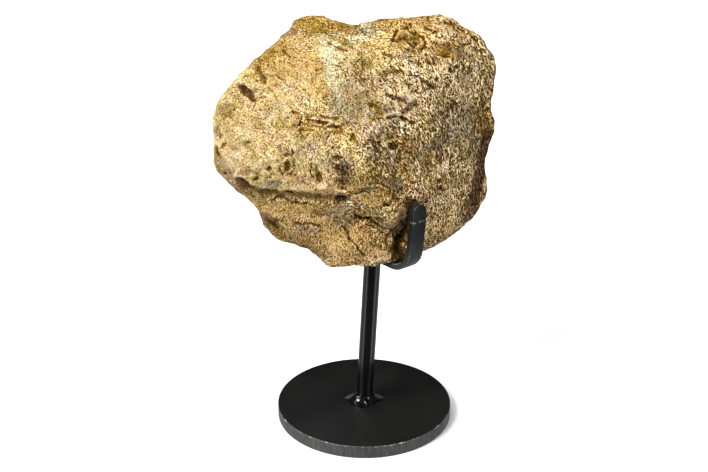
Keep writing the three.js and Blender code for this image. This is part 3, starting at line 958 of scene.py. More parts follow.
HOLLOWS = [  # (middle, half sizes, turn, depth in mm, how dark inside)
    ((16.0, 33.6), (1.6, 2.0), 20, 0.7, 0.55),
    ((5.2, 31.0), (2.8, 2.4), 0, 0.8, 0.35),
    ((6.2, 40.0), (3.0, 3.0), 0, 0.8, 0.3),
    ((32.4, 51.0), (1.6, 1.1), -20, 1.4, 0.75),
    ((31.8, 56.6), (2.6, 1.2), -20, 0.9, 0.65),
    ((37.8, 58.8), (2.0, 1.1), -30, 0.9, 0.8),
    ((40.4, 57.6), (0.9, 0.9), 0, 0.9, 0.9),
    ((39.0, 64.6), (0.9, 0.9), 0, 0.9, 0.9),
    ((-56.0, 26.0), (4.8, 2.2), -35, 2.4, 0.85),
    ((-53.4, 22.2), (3.0, 0.9), -25, 1.2, 0.9),
    ((-34.6, -12.2), (1.7, 3.2), 0, 1.6, 0.75),
    ((-34.8, -6.3), (2.7, 1.2), 12, 1.3, 0.85),
    ((-31.7, -4.2), (0.7, 1.6), 0, 0.8, 0.8),
    ((-44.3, -13.1), (1.1, 1.1), 0, 1.2, 1.0),
    ((-51.4, -18.7), (1.5, 0.8), 0, 1.0, 1.0),
    ((-67.7, -16.7), (0.8, 0.8), 0, 0.8, 0.9),
    ((-71.9, -5.2), (1.2, 3.0), 18, 1.2, 1.0),
    ((-68.4, -1.8), (2.2, 0.8), 42, 0.7, 0.7),
    ((-55.2, 0.2), (1.1, 0.8), 0, 0.7, 0.7),
    ((-18.3, -17.9), (1.7, 2.8), 25, 1.4, 0.75),
    ((-10.9, -2.7), (0.9, 0.8), 0, 0.7, 0.85),
    ((-8.8, -7.8), (2.4, 1.3), 10, 0.9, 0.7),
    ((-8.3, -13.1), (1.7, 2.0), 0, 1.0, 0.75),
    ((-4.7, -17.0), (2.4, 6.5), -8, 0.8, 0.45),
    ((-7.3, -30.2), (3.6, 2.4), -10, 1.6, 0.6),
    ((-58.0, -21.0), (3.6, 1.8), -38, 0.9, 0.35),
    ((-44.0, -45.0), (4.4, 1.4), -30, 0.8, 0.5),
    ((9.5, -27.0), (9.0, 3.2), 0, 1.6, 0.1),
    ((21.6, -29.2), (1.4, 4.0), 30, 0.8, 0.4),
    ((17.0, -32.9), (1.6, 0.9), 0, 0.8, 0.8),
    ((44.6, -20.5), (1.3, 1.1), 0, 1.4, 1.0),
    ((45.8, -24.2), (1.1, 1.5), 0, 1.3, 1.0),
    ((-0.5, 3.1), (1.4, 2.0), 0, 0.8, 0.75),
    ((20.8, -1.6), (2.6, 1.7), 0, 1.0, 0.65),
    ((15.5, 46.0), (1.8, 1.0), -30, 0.9, 0.7),
    ((46.0, 47.8), (6.5, 3.6), -12, 2.4, 0.45),
    ((44.6, 48.4), (2.6, 1.4), -20, 0.6, 0.5),
    ((48.2, 44.6), (2.4, 1.2), 35, 1.0, 0.6),
    ((49.5, 61.4), (2.6, 1.0), -15, 0.9, 0.9),
    ((49.8, 37.3), (1.0, 1.7), 0, 1.2, 1.0),
    # the next three darken the stone beside the strap: painted shadow of the strap
    ((23.0, -60.0), (5.0, 4.5), 0, 0.3, 0.8),
    ((27.6, -52.5), (2.6, 6.0), 0, 0.3, 0.7),
    ((28.4, -34.5), (2.2, 6.0), 0, 0.3, 0.8),
    ((53.0, 38.8), (1.5, 1.0), -30, 1.2, 1.0),
    ((57.2, 38.2), (0.9, 1.9), 0, 1.1, 0.9),
    ((60.0, 37.0), (0.9, 2.1), 10, 1.1, 0.9),
    ((64.7, 46.9), (0.8, 2.3), 8, 1.0, 1.0),
    ((67.2, 46.6), (0.8, 2.3), 4, 1.0, 1.0),
    ((42.8, 32.8), (1.1, 1.2), 0, 1.1, 1.0),
    ((-28.0, 36.0), (18.0, 14.0), 40, 1.4, 0.0),
    ((14.0, 12.0), (18.0, 10.0), 20, 1.0, 0.0),
    ((25.5, -48.0), (4.0, 12.0), -6, 1.8, 0.1),
]
SWELLINGS = [  # (middle, half sizes, turn, height in mm)
    ((6.6, 59.3), (4.0, 3.2), 0, 2.0),
    ((27.0, -63.5), (5.0, 2.5), 0, 1.4),
    ((24.5, 57.0), (3.6, 1.6), 10, 1.2),
    ((34.6, 51.6), (1.7, 2.4), -10, 1.3),
    ((20.0, -20.5), (6.0, 3.2), -35, 1.0),
    ((-40.0, -8.0), (24.0, 12.0), 0, 1.0),
    ((-20.0, -20.0), (14.0, 5.0), 0, 1.0),
    ((-31.0, -3.0), (2.4, 1.6), 20, 0.9),
    ((50.0, 54.0), (14.0, 4.0), -20, 0.8),
]
CRACKS = [  # (points, half width and depth in mm, how dark inside); a ridge has both below 0
    ([(15, 35.6), (17.5, 36.8), (20, 37.4), (23.2, 36.6)], 1.8, 0.6, 0.5),
    ([(24, 36.2), (28.3, 34.8), (34.0, 33.0)], 1.1, 0.5, 0.3),
    ([(16.4, 24.6), (20.7, 23.4), (24.6, 21.8), (27.6, 20.2)], 1.2, 1.0, 0.85),
    ([(23.6, 25.0), (26.5, 24.2), (30, 22.0)], 2.2, -1.2, -1.0),
    ([(18.8, 22.0), (22.2, 19.0)], 0.8, -0.5, -0.9),
    ([(16.6, 20.6), (19.4, 18.2)], 0.8, -0.5, -0.7),
    ([(21.6, 22.0), (25.0, 18.4)], 0.9, 0.6, 0.65),
    ([(31.4, 20.2), (28.5, 17.9), (25.6, 15.2)], 2.6, 0.9, 0.5),
    ([(8.5, 19.0), (12.4, 18.0), (14.5, 16.4), (17.4, 15.4)], 2.4, 0.9, 0.5),
    ([(17.6, 14.4), (21.2, 15.4), (24.6, 14.6)], 1.3, -0.7, -0.9),
    ([(17.4, 12.6), (21.6, 12.9)], 1.1, 1.0, 0.85),
    ([(24.2, 12.9), (27.8, 11.6)], 1.2, 1.1, 0.95),
    ([(35.6, 32.0), (38.6, 30.2), (41.6, 28.0)], 1.9, 1.5, 0.85),
    ([(31.4, 26.4), (34.6, 25.0), (36.2, 26.4), (38, 27.2)], 0.9, 0.6, 0.6),
    ([(24.6, 41.4), (28.4, 38.6), (31.5, 36.2)], 0.8, -0.6, -0.8),
    ([(27.6, 41.6), (30.4, 39.4)], 0.8, -0.6, -0.7),
    ([(22.8, 58.0), (21.6, 55.4), (20.2, 53.0)], 1.3, 1.4, 1.0),
    ([(26, 58.6), (27.8, 59.2), (29, 57.6), (33.8, 55.8)], 1.1, 1.2, 0.9),
    ([(22.8, 53.0), (26.4, 54.2), (28.8, 53.2), (31.2, 54.6)], 1.8, 1.2, 0.6),
    ([(32.2, 54.6), (35.4, 54.2), (37.2, 51.6), (36.4, 49.0), (34.4, 48.0)], 1.1, 1.1, 1.0),
    ([(27.8, 51.9), (31, 49.8), (34.6, 46.8)], 1.0, 1.0, 0.95),
    ([(33.0, 49.6), (34.9, 49.4)], 0.9, -0.9, -0.9),
    ([(29.4, 52.4), (31.0, 51.8)], 0.9, -0.8, -0.9),
    ([(24, 55.6), (26, 56.8), (28.2, 56.4)], 1.5, -1.0, -0.6),
    ([(25.4, 48.8), (30, 47.2), (34, 45.2), (38.5, 44.6)], 1.1, 0.9, 0.6),
    ([(40.6, 56.2), (42.4, 55.8), (44, 57.0)], 0.9, 0.8, 0.8),
    ([(27, 61.6), (29.4, 61.2), (30.2, 59.4)], 0.9, 0.8, 0.6),
    # the next three are a groove along the strap's left side, their darkness a painted shadow of the
    # strap
    ([(32.0, -30.6), (30.8, -34.5), (30.2, -39), (29.6, -43)], 2.2, 0.8, 1.3),
    ([(28.8, -43), (27, -49), (24.5, -54)], 2.2, 0.6, 0.5),
    ([(24.5, -54), (25, -58), (27, -64)], 3.2, 0.8, 0.75),
    ([(-59.6, 28.6), (-55.8, 25.0), (-52.0, 21.6)], 0.9, 0.5, 0.7),
    ([(-31.5, 16.0), (-28.8, 14.2), (-27.2, 12.4)], 0.9, 0.7, 0.5),
    ([(-27.2, 12.8), (-27.5, 11.0), (-28.1, 8.4)], 1.0, 1.3, 1.0),
    ([(-27.8, 6.6), (-26.4, 6.9), (-24.8, 6.0)], 0.9, 0.9, 0.7),
    ([(-25.5, 12.6), (-22, 11.8), (-18.0, 10.4)], 1.2, 0.7, 0.35),
    ([(-18.2, 10.6), (-15.8, 9.9), (-13.0, 10.3)], 1.1, 1.4, 1.0),
    ([(-13.8, 8.1), (-11.0, 8.6), (-8.4, 7.9)], 1.0, 1.2, 0.95),
    ([(-8.4, 7.9), (-5.5, 8.8), (-2.5, 8.4)], 0.7, 0.7, 0.5),
    ([(-17, 13.6), (-13.2, 12.6), (-8.5, 12.6)], 1.0, 0.8, 0.65),
    ([(-22, 8.6), (-17, 8.0), (-14, 6.6)], 0.7, 0.6, 0.45),
    ([(-4.6, 9.9), (-1.0, 10.6), (1.6, 10.1)], 0.8, 0.7, 0.55),
    ([(-12.4, 6.0), (-13.6, 3.0), (-15.2, -1.4)], 0.6, 0.6, 0.6),
    ([(-0.5, 3.0), (1.0, 0.5), (2.2, -1.5)], 0.7, 0.7, 0.6),
    ([(-3, -30.2), (4, -32.4), (12, -32.8), (18.5, -30)], 1.3, -0.9, -0.5),
    ([(-4, -25.6), (2, -23.4), (9, -22.8)], 1.0, -0.7, -0.4),
    ([(19, 8.2), (21.5, 8.8), (24, 7.4)], 0.8, -0.6, -0.9),
    ([(9, 11.2), (11.4, 8.2), (12.4, 5.4)], 1.2, -0.5, -0.8),
    ([(22, 38.6), (25.5, 37.2)], 0.7, -0.5, -0.7),
    ([(-17.5, 11.6), (-12.5, 11.2), (-8.5, 9.6)], 0.8, -0.6, -0.9),
    ([(-14, 7.0), (-10, 7.0)], 0.7, -0.5, -0.7),
    ([(-21.5, -13.4), (-21.4, -16.0), (-19.8, -18.8)], 0.6, -0.5, -0.8),
    ([(9.0, 1.0), (10.5, -1.5), (12.8, -4.2)], 1.3, 1.3, 0.7),
    ([(12.5, 0.5), (13.8, -2.0)], 0.7, 0.8, 0.8),
    ([(-6.4, -45), (-3.6, -48.4), (-2.2, -52.4)], 0.7, 0.9, 0.8),
    ([(-2.2, -52.4), (0.4, -54.0), (2.2, -57.6), (5.9, -61.5)], 0.9, 1.1, 0.95),
    ([(-31, -43.6), (-28.9, -44.3), (-24.6, -43.9), (-18, -45.4)], 0.9, 0.8, 0.8),
    ([(-44, -31.8), (-40.8, -30.4), (-37, -31.4), (-33, -33), (-29, -33.2), (-25, -33)], 0.9, 1.1, 0.95),
    ([(-36, -26.5), (-33.6, -27), (-31.6, -29.5)], 0.8, 0.8, 0.8),
    ([(1.0, -39.6), (4.6, -41.0), (7.2, -41.6)], 1.6, 1.6, 1.0),
    ([(7.2, -41.6), (10.4, -43.4), (13.4, -45.0)], 1.0, 1.2, 0.9),
    ([(13.4, -45.0), (18.4, -48.0), (22.0, -48.4)], 0.9, 0.8, 0.6),
    ([(-3.0, -27.4), (1.0, -26.6), (5.0, -26.2), (8.5, -26.8)], 0.8, 0.8, 0.7),
    ([(-6.5, -23.0), (-3.6, -24.8), (-1.5, -26.4)], 0.7, 0.8, 0.8),
    ([(11, -21.4), (15.7, -22.1), (19, -24.4), (18.6, -27.5)], 0.7, 0.9, 0.7),
    ([(-22.0, -12.5), (-22.8, -15.2), (-21.4, -18.4)], 0.6, 0.7, 0.8),
    ([(-19.6, -12.6), (-20.6, -14.8), (-19.6, -16.8)], 0.6, 0.7, 0.85),
    ([(-38, -11), (-38.6, -14.5), (-36.6, -17.5)], 0.7, 0.7, 0.6),
    ([(-31.6, -9), (-31.0, -13), (-33.0, -17.0)], 0.7, 0.7, 0.6),
    ([(25.0, 11.0), (28.0, 11.2), (31.5, 10.2)], 1.4, 1.1, 0.65),
    ([(19, 8.5), (24, 7.2), (29, 6.6)], 0.7, 0.7, 0.65),
    ([(28.8, 42.0), (34.0, 40.8), (42.8, 39.9)], 1.0, 0.9, 0.6),
    ([(17.0, 45.2), (20.0, 44.2), (24.0, 44.6)], 0.7, 0.6, 0.6),
    ([(62.5, 54.0), (66.0, 50.6), (69.0, 46.8)], 0.9, 1.0, 0.9),
    ([(54.0, 52.0), (57.0, 49.5), (61.5, 50.5)], 0.9, 0.9, 0.75),
    ([(-50.4, 37.8), (-48.0, 35.0), (-46.2, 30.8)], 2.0, 1.3, 0.4),
    ([(-46.2, 30.5), (-42.0, 25.5), (-39.5, 21.0)], 0.8, 0.5, 0.35),
    ([(-40.0, 34.0), (-34.0, 29.0), (-29.0, 27.5)], 0.7, 0.5, 0.4),
    ([(-36.8, 47.6), (-33.5, 44.4)], 1.1, 0.8, 0.7),
    ([(-13.0, 51.5), (-8.5, 48.5), (-4.0, 47.0)], 0.8, 0.7, 0.6),
]
LEDGE = [  # the brink of the step across the face, in mm
    (-60, -21.5), (-55, -25), (-48, -27.5), (-40, -28.5), (-30, -29.5), (-20, -29.5),
    (-12, -29), (-5, -29.5), (3, -34), (11, -38), (19, -44), (25, -51),
]


def waves(points, size, seed, octaves=1):
    """Soft random waves from about -1 to 1, one value for each point, of the given size in mm."""
    scaled = points / np.asarray(size) + 13.7 * seed
    return np.array([noise.fractal(p, 1.0, 2.0, octaves) for p in scaled.tolist()])


def smooth_step(value, low, high):
    """0 up to low, 1 from high on, and a smooth rise between."""
    share = np.clip((value - low) / (high - low), 0, 1)
    return share * share * (3 - 2 * share)


def slab_places(places):
    """Millimetres across, up and out of the slab, from its middle."""
    out = (places - np.array(stone_middle)) / MM
    across = out[:, 0]
    up = out[:, 2] * math.cos(SLAB_LEAN) + out[:, 1] * math.sin(SLAB_LEAN)
    front = out[:, 2] * math.sin(SLAB_LEAN) - out[:, 1] * math.cos(SLAB_LEAN)
    return np.stack([across, up, front], axis=1)


def patch(slab, at, size, turn):
    """1 in the middle of an oval patch of the face, 0 outside it, with a soft border."""
    way = math.radians(turn)
    across = slab[:, 0] - at[0]
    up = slab[:, 1] - at[1]
    along = (across * math.cos(way) + up * math.sin(way)) / size[0]
    beside = (up * math.cos(way) - across * math.sin(way)) / size[1]
    return smooth_step(1.5 - np.hypot(along, beside), 0.2, 0.9)


def line(slab, points, width):
    """1 on a line across the face, 0 beyond its half width in mm."""
    nearest = np.full(len(slab), 1e9)
    for start, end in zip(points, points[1:]):
        run = np.subtract(end, start)
        offset = slab[:, :2] - start
        share = np.clip(offset @ run / (run @ run), 0, 1)
        nearest = np.minimum(nearest, np.linalg.norm(offset - share[:, None] * run, axis=1))
    return smooth_step(1.0 - nearest / width, 0.0, 0.7)


def heaviest(slab, patches):
    """The heaviest of several patches at each point."""
    total = np.zeros(len(slab))
    for at, size, turn, weight in patches:
        total = np.maximum(total, weight * patch(slab, at, size, turn))
    return total


def strut_places(slab):
    """Millimetres along and across the struts, which run in arcs round the growth centre."""
    arm = slab[:, :2] - GROWTH_CENTRE
    along = np.arctan2(arm[:, 1], arm[:, 0]) * GROWTH_RADIUS + 4 * waves(slab, 30, 3)
    across = np.linalg.norm(arm, axis=1) + 5 * waves(slab, 38, 1, 2) + 1.5 * waves(slab, 9, 2)
    return np.stack([along, across, slab[:, 2] + 4 * waves(slab, 25, 4)], axis=1)


def pores_of(struts, size, seed):
    """How deep each point lies in a pore: 1 at the middle of one, 0 on the struts between."""
    depths = []
    for p in (struts / np.asarray(size) + 5.1 * seed).tolist():
        distances, cells = noise.voronoi(p)
        width = 0.18 + 0.34 * (0.5 + 0.5 * noise.noise(cells[0] * 3.7))
        depths.append(1 - distances[0] / width)
    return smooth_step(np.array(depths), 0, 0.7)


def creases(points, size, seed, width):
    """1 along the winding lines where soft waves cross zero, 0 away from them."""
    return smooth_step(1 - np.abs(waves(points, size, seed, 2)) / width, 0, 1)


def strap_room(places):
    """How far each point may move out, in mm, before it would meet a strap."""
    room = np.full(len(places), math.inf)
    for strap in (cradle, prong):
        tree = BVHTree.FromObject(strap, bpy.context.evaluated_depsgraph_get())
        for i, place in enumerate(places):
            nearest, _, _, distance = tree.find_nearest(place, STRAP_NEAR)
            if nearest is not None:
                room[i] = min(room[i], distance / MM - STRAP_GAP)
    return room


def kinds_of_bone(slab, ragged, jagged, front):
    """How much each point has of every stain and kind of surface, by name."""
    stained = smooth_step(slab[:, 2], *STAIN_FADE)
    kept = {name: stained * heaviest(ragged, patches) for name, patches in PATCHES.items()}
    # the bone grows more porous to the right, and is evenly so behind
    side = ragged[:, 0] + 0.3 * np.maximum(0, -ragged[:, 1] - 10) - 0.2 * ragged[:, 1]
    porous = np.maximum(smooth_step(side, 0, 44), kept["porous"])
    kept["porous"] = front * porous + (1 - front) * (0.4 + 0.3 * waves(slab, 30, 15))
    for kinds, points, width, weight in BANDS:
        band = weight * stained * line(jagged, points, width)
        for kind in kinds:
            kept[kind] = np.maximum(kept[kind], band)
    return kept


def sculpt_stone(stone):
    """Moves the skin in and out, and keeps on each point what the material needs to know."""
    places = places_of(stone)
    slab = slab_places(places)
    struts = strut_places(slab)
    front = smooth_step(slab[:, 2], *FRONT_FADE)
    ragged = slab.copy()  # for stains, whose borders stray by millimetres
    jagged = slab.copy()  # for hollows and cracks, which stray by tenths
    for axis in (0, 1):
        ragged[:, axis] += 3.0 * waves(slab, 9, 5 + axis, 3)
        jagged[:, axis] += 0.6 * waves(slab, 3.0, 7 + axis, 2)
    kept = kinds_of_bone(slab, ragged, jagged, front)

    # Struts and grit stand up between the holes, less so where the bone is pale or rubbed smooth.
    # Their sizes are along, across and through the struts, in mm.
    smooth = np.maximum(0.35 * kept["sandy"], 0.95 * kept["pale"])
    smooth = np.maximum(smooth, kept.pop("soft"))
    spongy = (0.6 + 0.4 * kept["porous"]) * (1 - 0.7 * smooth)
    fibres = waves(struts, (3.6, 1.8, 2.2), 9, 2)
    grits = waves(struts, (1.7, 1.2, 1.3), 10)
    streaks = waves(struts, (8.0, 1.5, 1.8), 23)
    relief = spongy * (0.2 * fibres + 0.2 * grits)
    holes = pores_of(struts, (3.0, 2.0, 2.4), 11)
    holes *= smooth_step(waves(slab, 14, 12, 2), -0.35, 0.2) * spongy

    # folds and wrinkles of the living bone, and thin beds under the ledge
    folded = 0.2 + 0.8 * kept.pop("folded")
    folds = creases(struts, (11.0, 4.5, 6.0), 16, 0.09) * smooth_step(waves(slab, 13, 17), -0.1, 0.2)
    wrinkles = creases(struts, (6.0, 2.6, 3.5), 18, 0.10) * smooth_step(waves(slab, 7, 19), -0.05, 0.2)
    beds = waves(ragged, (12.0, 2.0, 6.0), 20, 2)
    bedded = kept.pop("bedded") * smooth_step(waves(slab, 6, 22), -0.3, 0.3)

    # height is how far the skin comes out, in mm, and hollow is how dark the skin is made there: dark
    # silt, and painted shade in pits, folds, cracks and under the ledge
    height = sum(rise * waves(slab, size, seed, 2) for rise, size, seed in FACE_WAVES)
    height += relief - 0.4 * holes
    height += 0.45 * kept["streaked"] * streaks
    height += 0.7 * bedded * beds - folded * (0.8 * folds + 0.4 * wrinkles)
    hollow = np.maximum(0.3 * holes, folded * np.maximum(0.45 * folds, 0.35 * wrinkles))
    hollow = np.maximum(hollow, 0.5 * bedded * smooth_step(-beds, 0.1, 0.4))
    for at, size, turn, depth, dark in HOLLOWS:
        inside = front * patch(jagged, at, size, turn)
        height -= depth * inside
        hollow = np.maximum(hollow, dark * inside)
    for at, size, turn, rise in SWELLINGS:
        height += rise * front * patch(jagged, at, size, turn)
    uneven = 0.9 + 0.7 * waves(slab, 2.5, 25)
    rubbed = np.zeros(len(slab))
    for points, width, depth, dark in CRACKS:
        inside = front * line(jagged, points, width * uneven)
        height -= depth * inside
        hollow = np.maximum(hollow, dark * inside)
        rubbed = np.maximum(rubbed, -dark * inside)

    # the ledge: a lip above its brink, and below it an undercut, shallower to the right
    height += LEDGE_LIP * front * line(ragged - (0, 5.0, 0), LEDGE, 4.5)
    undercut = front * line(0.5 * (ragged + jagged), LEDGE, 3.6)
    undercut *= 1 - 0.6 * smooth_step(slab[:, 0], -12, 4)
    height -= LEDGE_UNDERCUT * undercut
    # painted shade: a dark band along the ledge where shade falls under its lip, fading to the right
    shaded = front * line(ragged + (0, 1.0, 0), LEDGE, 4.6) * (1 - smooth_step(slab[:, 0], -6, 12))
    hollow = np.maximum(hollow, shaded * (0.34 + 0.25 * waves(slab, 5, 24)))

    # the shade in stops, and how strong the finest grain is
    # painted shade: a darker band where the face turns away near its borders
    edge = smooth_step(slab[:, 2], -9, -1) * (1 - smooth_step(slab[:, 2], -1, 6))
    kept["shade"] = relief + 0.8 * rubbed - HOLLOW_STOPS * hollow - 0.6 * edge
    # partly painted light and shade: the darker and lighter patches, and the porous right side darkened
    # for its bone and as painted shade where it turns from the light
    kept["shade"] += 0.6 * kept.pop("paler_and_lit") - 1.0 * kept.pop("silt_and_shade") - 0.55 * kept["porous"]
    kept["grain"] = (1.0 + 0.45 * kept["porous"]) * (1 - 0.5 * smooth) * (1 + kept.pop("coarse"))
    kept["porous"] *= 1 - 0.8 * smooth

    normals = np.empty(3 * len(places))
    stone.data.vertices.foreach_get("normal", normals)
    height = np.minimum(height, strap_room(places))
    set_places(stone, places + normals.reshape(-1, 3) * height[:, None] * MM)

    for name, values in kept.items():
        attribute = stone.data.attributes.new(name, "FLOAT", "POINT")
        attribute.data.foreach_set("value", values.astype(np.float32))
    attribute = stone.data.attributes.new("struts", "FLOAT_VECTOR", "POINT")
    attribute.data.foreach_set("vector", struts.ravel())


def fossil_bone():
    """Permineralised bone, broken open: cream and tan struts, brown silt in the pores between,
    stained gold and rust by iron and grey by manganese. Dry and dull. Shade is painted into its
    hollows, along the ledge and the strap, and where it turns from the light."""
    material, tree = new_material("permineralised frill bone")
    kept = {
        name: add_node(tree, "Attribute", attribute_name=name).outputs["Fac"]
        for name in ("shade", "grain", "streaked", "porous", *STAINS)
    }
    struts = add_node(tree, "Attribute", attribute_name="struts").outputs["Vector"]

    # noises laid along the struts, each in grains of the given size along, across and through
    grain = {}
    for name, size, settings in (
        ("hue", (16, 10, 11), {"Detail": 2.0, "Roughness": 0.7, "Distortion": 0.8}),
        ("freckle", (7, 4.5, 5), {"Detail": 1.0}),
        ("tone", (7, 4.5, 5), {"Detail": 2.0, "Distortion": 0.6}),
        ("streak", (9, 0.8, 1.1), {"Detail": 1.0, "Distortion": 0.3}),
        ("thread", (4.5, 1.2, 1.4), {"Detail": 1.0, "Distortion": 0.5}),
        ("fibre", (2.2, 0.6, 0.7), {"Detail": 1.0, "Distortion": 0.4}),
        ("grit", (0.6, 0.5, 0.55), {"Detail": 0.0}),
    ):
        laid = add_node(tree, "Mapping", {"Vector": struts, "Scale": [1 / s for s in size]})
        inputs = {"Vector": laid.outputs["Vector"], "Scale": 1.0, **settings}
        grain[name] = add_node(tree, "TexNoise", inputs).outputs["Fac"]

    # the body of the bone: cream with greenish, pinkish and whitish parts
    hues = [
        (0.32, "#bb9a5b"),
        (0.41, "#c1a872"),
        (0.49, "#dabe7f"),
        (0.59, "#d9b88e"),
        (0.69, "#e5d7b3"),
    ]
    colour = add_node(tree, "ValToRGB", {0: grain["hue"]}, hues).outputs["Color"]
    for name, (stain, strength) in {**STAINS, "porous": ("#a48a66", 0.45)}.items():
        amount = add_node(tree, "Math", {0: kept[name], 1: strength}, operation="MULTIPLY")
        inputs = {0: amount.outputs["Value"], 6: colour, 7: linear(stain)}
        colour = add_node(tree, "Mix", inputs, data_type="RGBA").outputs[2]

    # freckles, some orange with iron and some olive
    tints = [(0.28, "#fbeacf"), (0.42, "#ffffff"), (0.54, "#ffffff"), (0.7, "#f4f6e2")]
    tint = add_node(tree, "ValToRGB", {0: grain["freckle"]}, tints).outputs["Color"]
    inputs = {0: 1.0, 6: colour, 7: tint}
    colour = add_node(tree, "Mix", inputs, data_type="RGBA", blend_type="MULTIPLY").outputs[2]

    # dark threads of silt where a noise crosses its middle, and pale ones a little to the side
    off = add_node(tree, "Math", {0: grain["thread"], 1: 0.5}, operation="SUBTRACT").outputs["Value"]
    beside = add_node(tree, "Math", {0: off}, operation="ABSOLUTE").outputs["Value"]
    off = add_node(tree, "Math", {0: off, 1: 0.06}, operation="SUBTRACT").outputs["Value"]
    ridge = add_node(tree, "Math", {0: off}, operation="ABSOLUTE").outputs["Value"]

    # open pores, no two of one width
    laid = add_node(tree, "Mapping", {"Vector": struts, "Scale": (1 / 1.5, 1 / 1.1, 1 / 1.2)})
    cells = add_node(tree, "TexVoronoi", {"Vector": laid.outputs["Vector"], "Scale": 1.0})
    chance = add_node(tree, "SeparateColor", {"Color": cells.outputs["Color"]}).outputs["Red"]
    width = add_node(tree, "MapRange", {0: chance, 3: 0.12, 4: 0.48}).outputs["Result"]
    pore = add_node(
        tree, "Math", {0: cells.outputs["Distance"], 1: width}, operation="SUBTRACT"
    ).outputs["Value"]

    # Light and shade in stops: the noise, its range, the stops at each end, and where it lies.
    shade = kept["shade"]
    for value, low, high, dark, light, share in (
        (grain["fibre"], 0.28, 0.54, -1.2, 0.35, kept["grain"]),
        (grain["grit"], 0.28, 0.51, -3.3, 0.6, kept["grain"]),
        (grain["streak"], 0.3, 0.7, -0.9, 0.7, kept["streaked"]),
        (grain["tone"], 0.3, 0.6, -0.3, 0.1, 1.0),
        (beside, 0.0, 0.02, -1.4, 0.0, kept["grain"]),
        (ridge, 0.0, 0.02, 0.7, 0.0, kept["streaked"]),
        (pore, -0.12, 0.02, -2.4, 0.0, kept["porous"]),
        (pore, 0.1, 0.4, 0.0, 0.7, kept["porous"]),
    ):
        stops = add_node(tree, "MapRange", {0: value, 1: low, 2: high, 3: dark, 4: light})
        inputs = {0: stops.outputs["Result"], 1: share, 2: shade}
        shade = add_node(tree, "Math", inputs, operation="MULTIPLY_ADD").outputs["Value"]
    # tips are never much paler than the bone, save where it is porous
    palest = add_node(tree, "MapRange", {0: kept["porous"], 3: 0.42, 4: 1.0}).outputs["Result"]
    shade = add_node(tree, "Clamp", {"Value": shade, "Min": -4.2, "Max": palest}).outputs["Result"]

    # Silt and painted shade darken the bone and make it richer and redder; rubbed tips, paler bone and
    # painted light are pale.
    value = add_node(tree, "Math", {0: 2.0, 1: shade}, operation="POWER").outputs["Value"]
    richness = add_node(tree, "Math", {0: 0.8, 1: shade}, operation="POWER").outputs["Value"]
    turned = add_node(tree, "Math", {0: shade, 1: 0.006, 2: 0.5}, operation="MULTIPLY_ADD")
    inputs = {
        "Hue": turned.outputs["Value"],
        "Saturation": richness,
        "Value": value,
        "Color": colour,
    }
    colour = add_node(tree, "HueSaturation", inputs).outputs["Color"]

    bump = add_node(tree, "Bump", {"Height": shade, "Strength": 0.6, "Distance": 0.3 * MM})
    surface = add_node(
        tree,
        "BsdfPrincipled",
        {
            "Base Color": colour,
            "Roughness": 0.8,
            "Specular IOR Level": 0.2,
            "Normal": bump.outputs["Normal"],
        },
    )
    add_node(tree, "OutputMaterial", {"Surface": surface.outputs["BSDF"]})
    return material


stone = copy_of_node("frill_fossil", "fossil_slab")
add_modifier(stone, "REMESH", mode="VOXEL", voxel_size=STONE_GRAIN)
add_modifier(stone, "SMOOTH", factor=0.5, iterations=18)
sculpt_stone(stone)
behind = stone.vertex_groups.new(name="behind")
backmost = slab_places(places_of(stone))[:, 2] < BACK_DEPTH
behind.add(np.flatnonzero(backmost).tolist(), 1.0, "REPLACE")
add_modifier(stone, "DECIMATE", ratio=BACK_SHARE, vertex_group="behind", vertex_group_factor=1000)
stone.vertex_groups.clear()
stone.data.polygons.foreach_set("use_smooth", [True] * len(stone.data.polygons))
finish_piece(stone, fossil_bone(), "frill_fossil")

# ---------------------------------------------------------------- the studio
# A plain white floor under broad soft lights: the main one from the upper left in front, one
# overhead and a weaker one from the right. In the enamel the floor shows only as a dim grey, and
# a pale panel on each side draws the two soft lines down the rod.

FLOOR_SIZE = 40.0  # metres, as are the camera's places
CAMERA_PLACE = (-0.006, -0.571, 0.3425)
CAMERA_DROP = 22  # degrees that it looks down
CAMERA_LENS = 56.3  # mm
CAMERA_SENSOR = 36  # mm wide


def white_floor():
    """Matt white board: even and very light."""
    material, tree = new_material("matt white board")
    surface = add_node(tree, "BsdfPrincipled", {"Base Color": linear("#f4f4f3"), "Roughness": 0.9})
    add_node(tree, "OutputMaterial", {"Surface": surface.outputs["BSDF"]})
    return material


bpy.ops.object.select_all(action="DESELECT")
bpy.ops.mesh.primitive_plane_add(size=FLOOR_SIZE, location=(0, 0, 0))
floor = bpy.context.object
floor.name = "floor"
floor.data.materials.append(white_floor())
floor.visible_glossy = False
floor.visible_diffuse = False


def add_soft_light(name, turn, rise, spread, strength):
    """A far, broad light. turn is where it stands, in degrees to the right of the camera, rise
    how high, spread how wide it looks, and strength is in watts on a square metre."""
    bpy.ops.object.light_add(type="SUN", location=(0, 0, 1))
    light = bpy.context.object
    light.name = name
    way, lift = math.radians(turn), math.radians(rise)
    level = math.cos(lift)
    towards = Vector((math.sin(way) * level, -math.cos(way) * level, math.sin(lift)))
    light.rotation_euler = towards.to_track_quat("Z", "Y").to_euler()
    light.data.angle = math.radians(spread)
    light.data.energy = strength


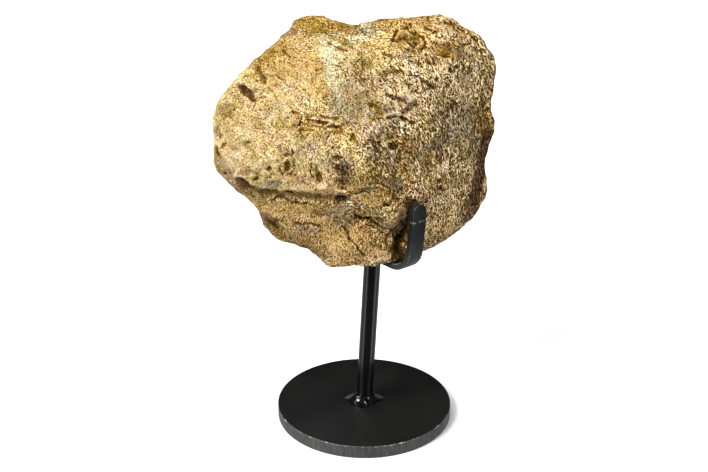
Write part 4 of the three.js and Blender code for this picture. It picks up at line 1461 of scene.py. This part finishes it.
add_soft_light("key", -52, 42, 28, 4.0)
add_soft_light("overhead", -120, 72, 50, 2.0)
add_soft_light("fill", 50, 30, 28, 1.3)


def studio_surroundings():
    """Dim all round, and brighter in a band on each side a little in front of the object."""
    world = bpy.data.worlds.new("studio")
    world.use_nodes = True
    tree = world.node_tree
    tree.nodes.clear()
    direction = add_node(tree, "TexCoord").outputs["Generated"]
    parts = add_node(tree, "SeparateXYZ", {0: direction}).outputs
    forwards = add_node(tree, "MapRange", {0: parts["Y"], 1: -1.0, 2: 1.0}).outputs["Result"]
    greys = [
        (0.0, "#434343"),
        (0.2, "#434343"),
        (0.26, "#ffffff"),
        (0.37, "#ffffff"),
        (0.43, "#0e0e0e"),
        (1.0, "#0a0a0a"),
    ]
    around = add_node(tree, "ValToRGB", {0: forwards}, greys).outputs["Color"]
    # below the horizon at least the floor's dim light, stronger behind, and high up a grey sky
    low = add_node(tree, "MapRange", {0: parts["Z"], 1: -0.12, 2: -0.3}).outputs["Result"]
    behind = add_node(tree, "MapRange", {0: parts["Y"], 1: -0.6, 2: 0.3, 3: 0.07, 4: 0.32})
    inputs = {0: low, 6: around, 7: behind.outputs["Result"]}
    around = add_node(tree, "Mix", inputs, data_type="RGBA", blend_type="LIGHTEN").outputs[2]
    high = add_node(tree, "MapRange", {0: parts["Z"], 1: 0.42, 2: 0.72}).outputs["Result"]
    inputs = {0: high, 6: around, 7: linear("#555555")}
    sky = add_node(tree, "Mix", inputs, data_type="RGBA").outputs[2]
    glow = add_node(tree, "Background", {"Color": sky, "Strength": 1.8})
    add_node(tree, "OutputWorld", {"Surface": glow.outputs["Background"]})
    return world


bpy.context.scene.world = studio_surroundings()
bpy.context.scene.view_settings.view_transform = "Standard"

turned = (math.radians(90 - CAMERA_DROP), 0, 0)
bpy.ops.object.camera_add(location=CAMERA_PLACE, rotation=turned)
camera = bpy.context.object
camera.data.lens = CAMERA_LENS
camera.data.sensor_width = CAMERA_SENSOR
bpy.context.scene.camera = camera
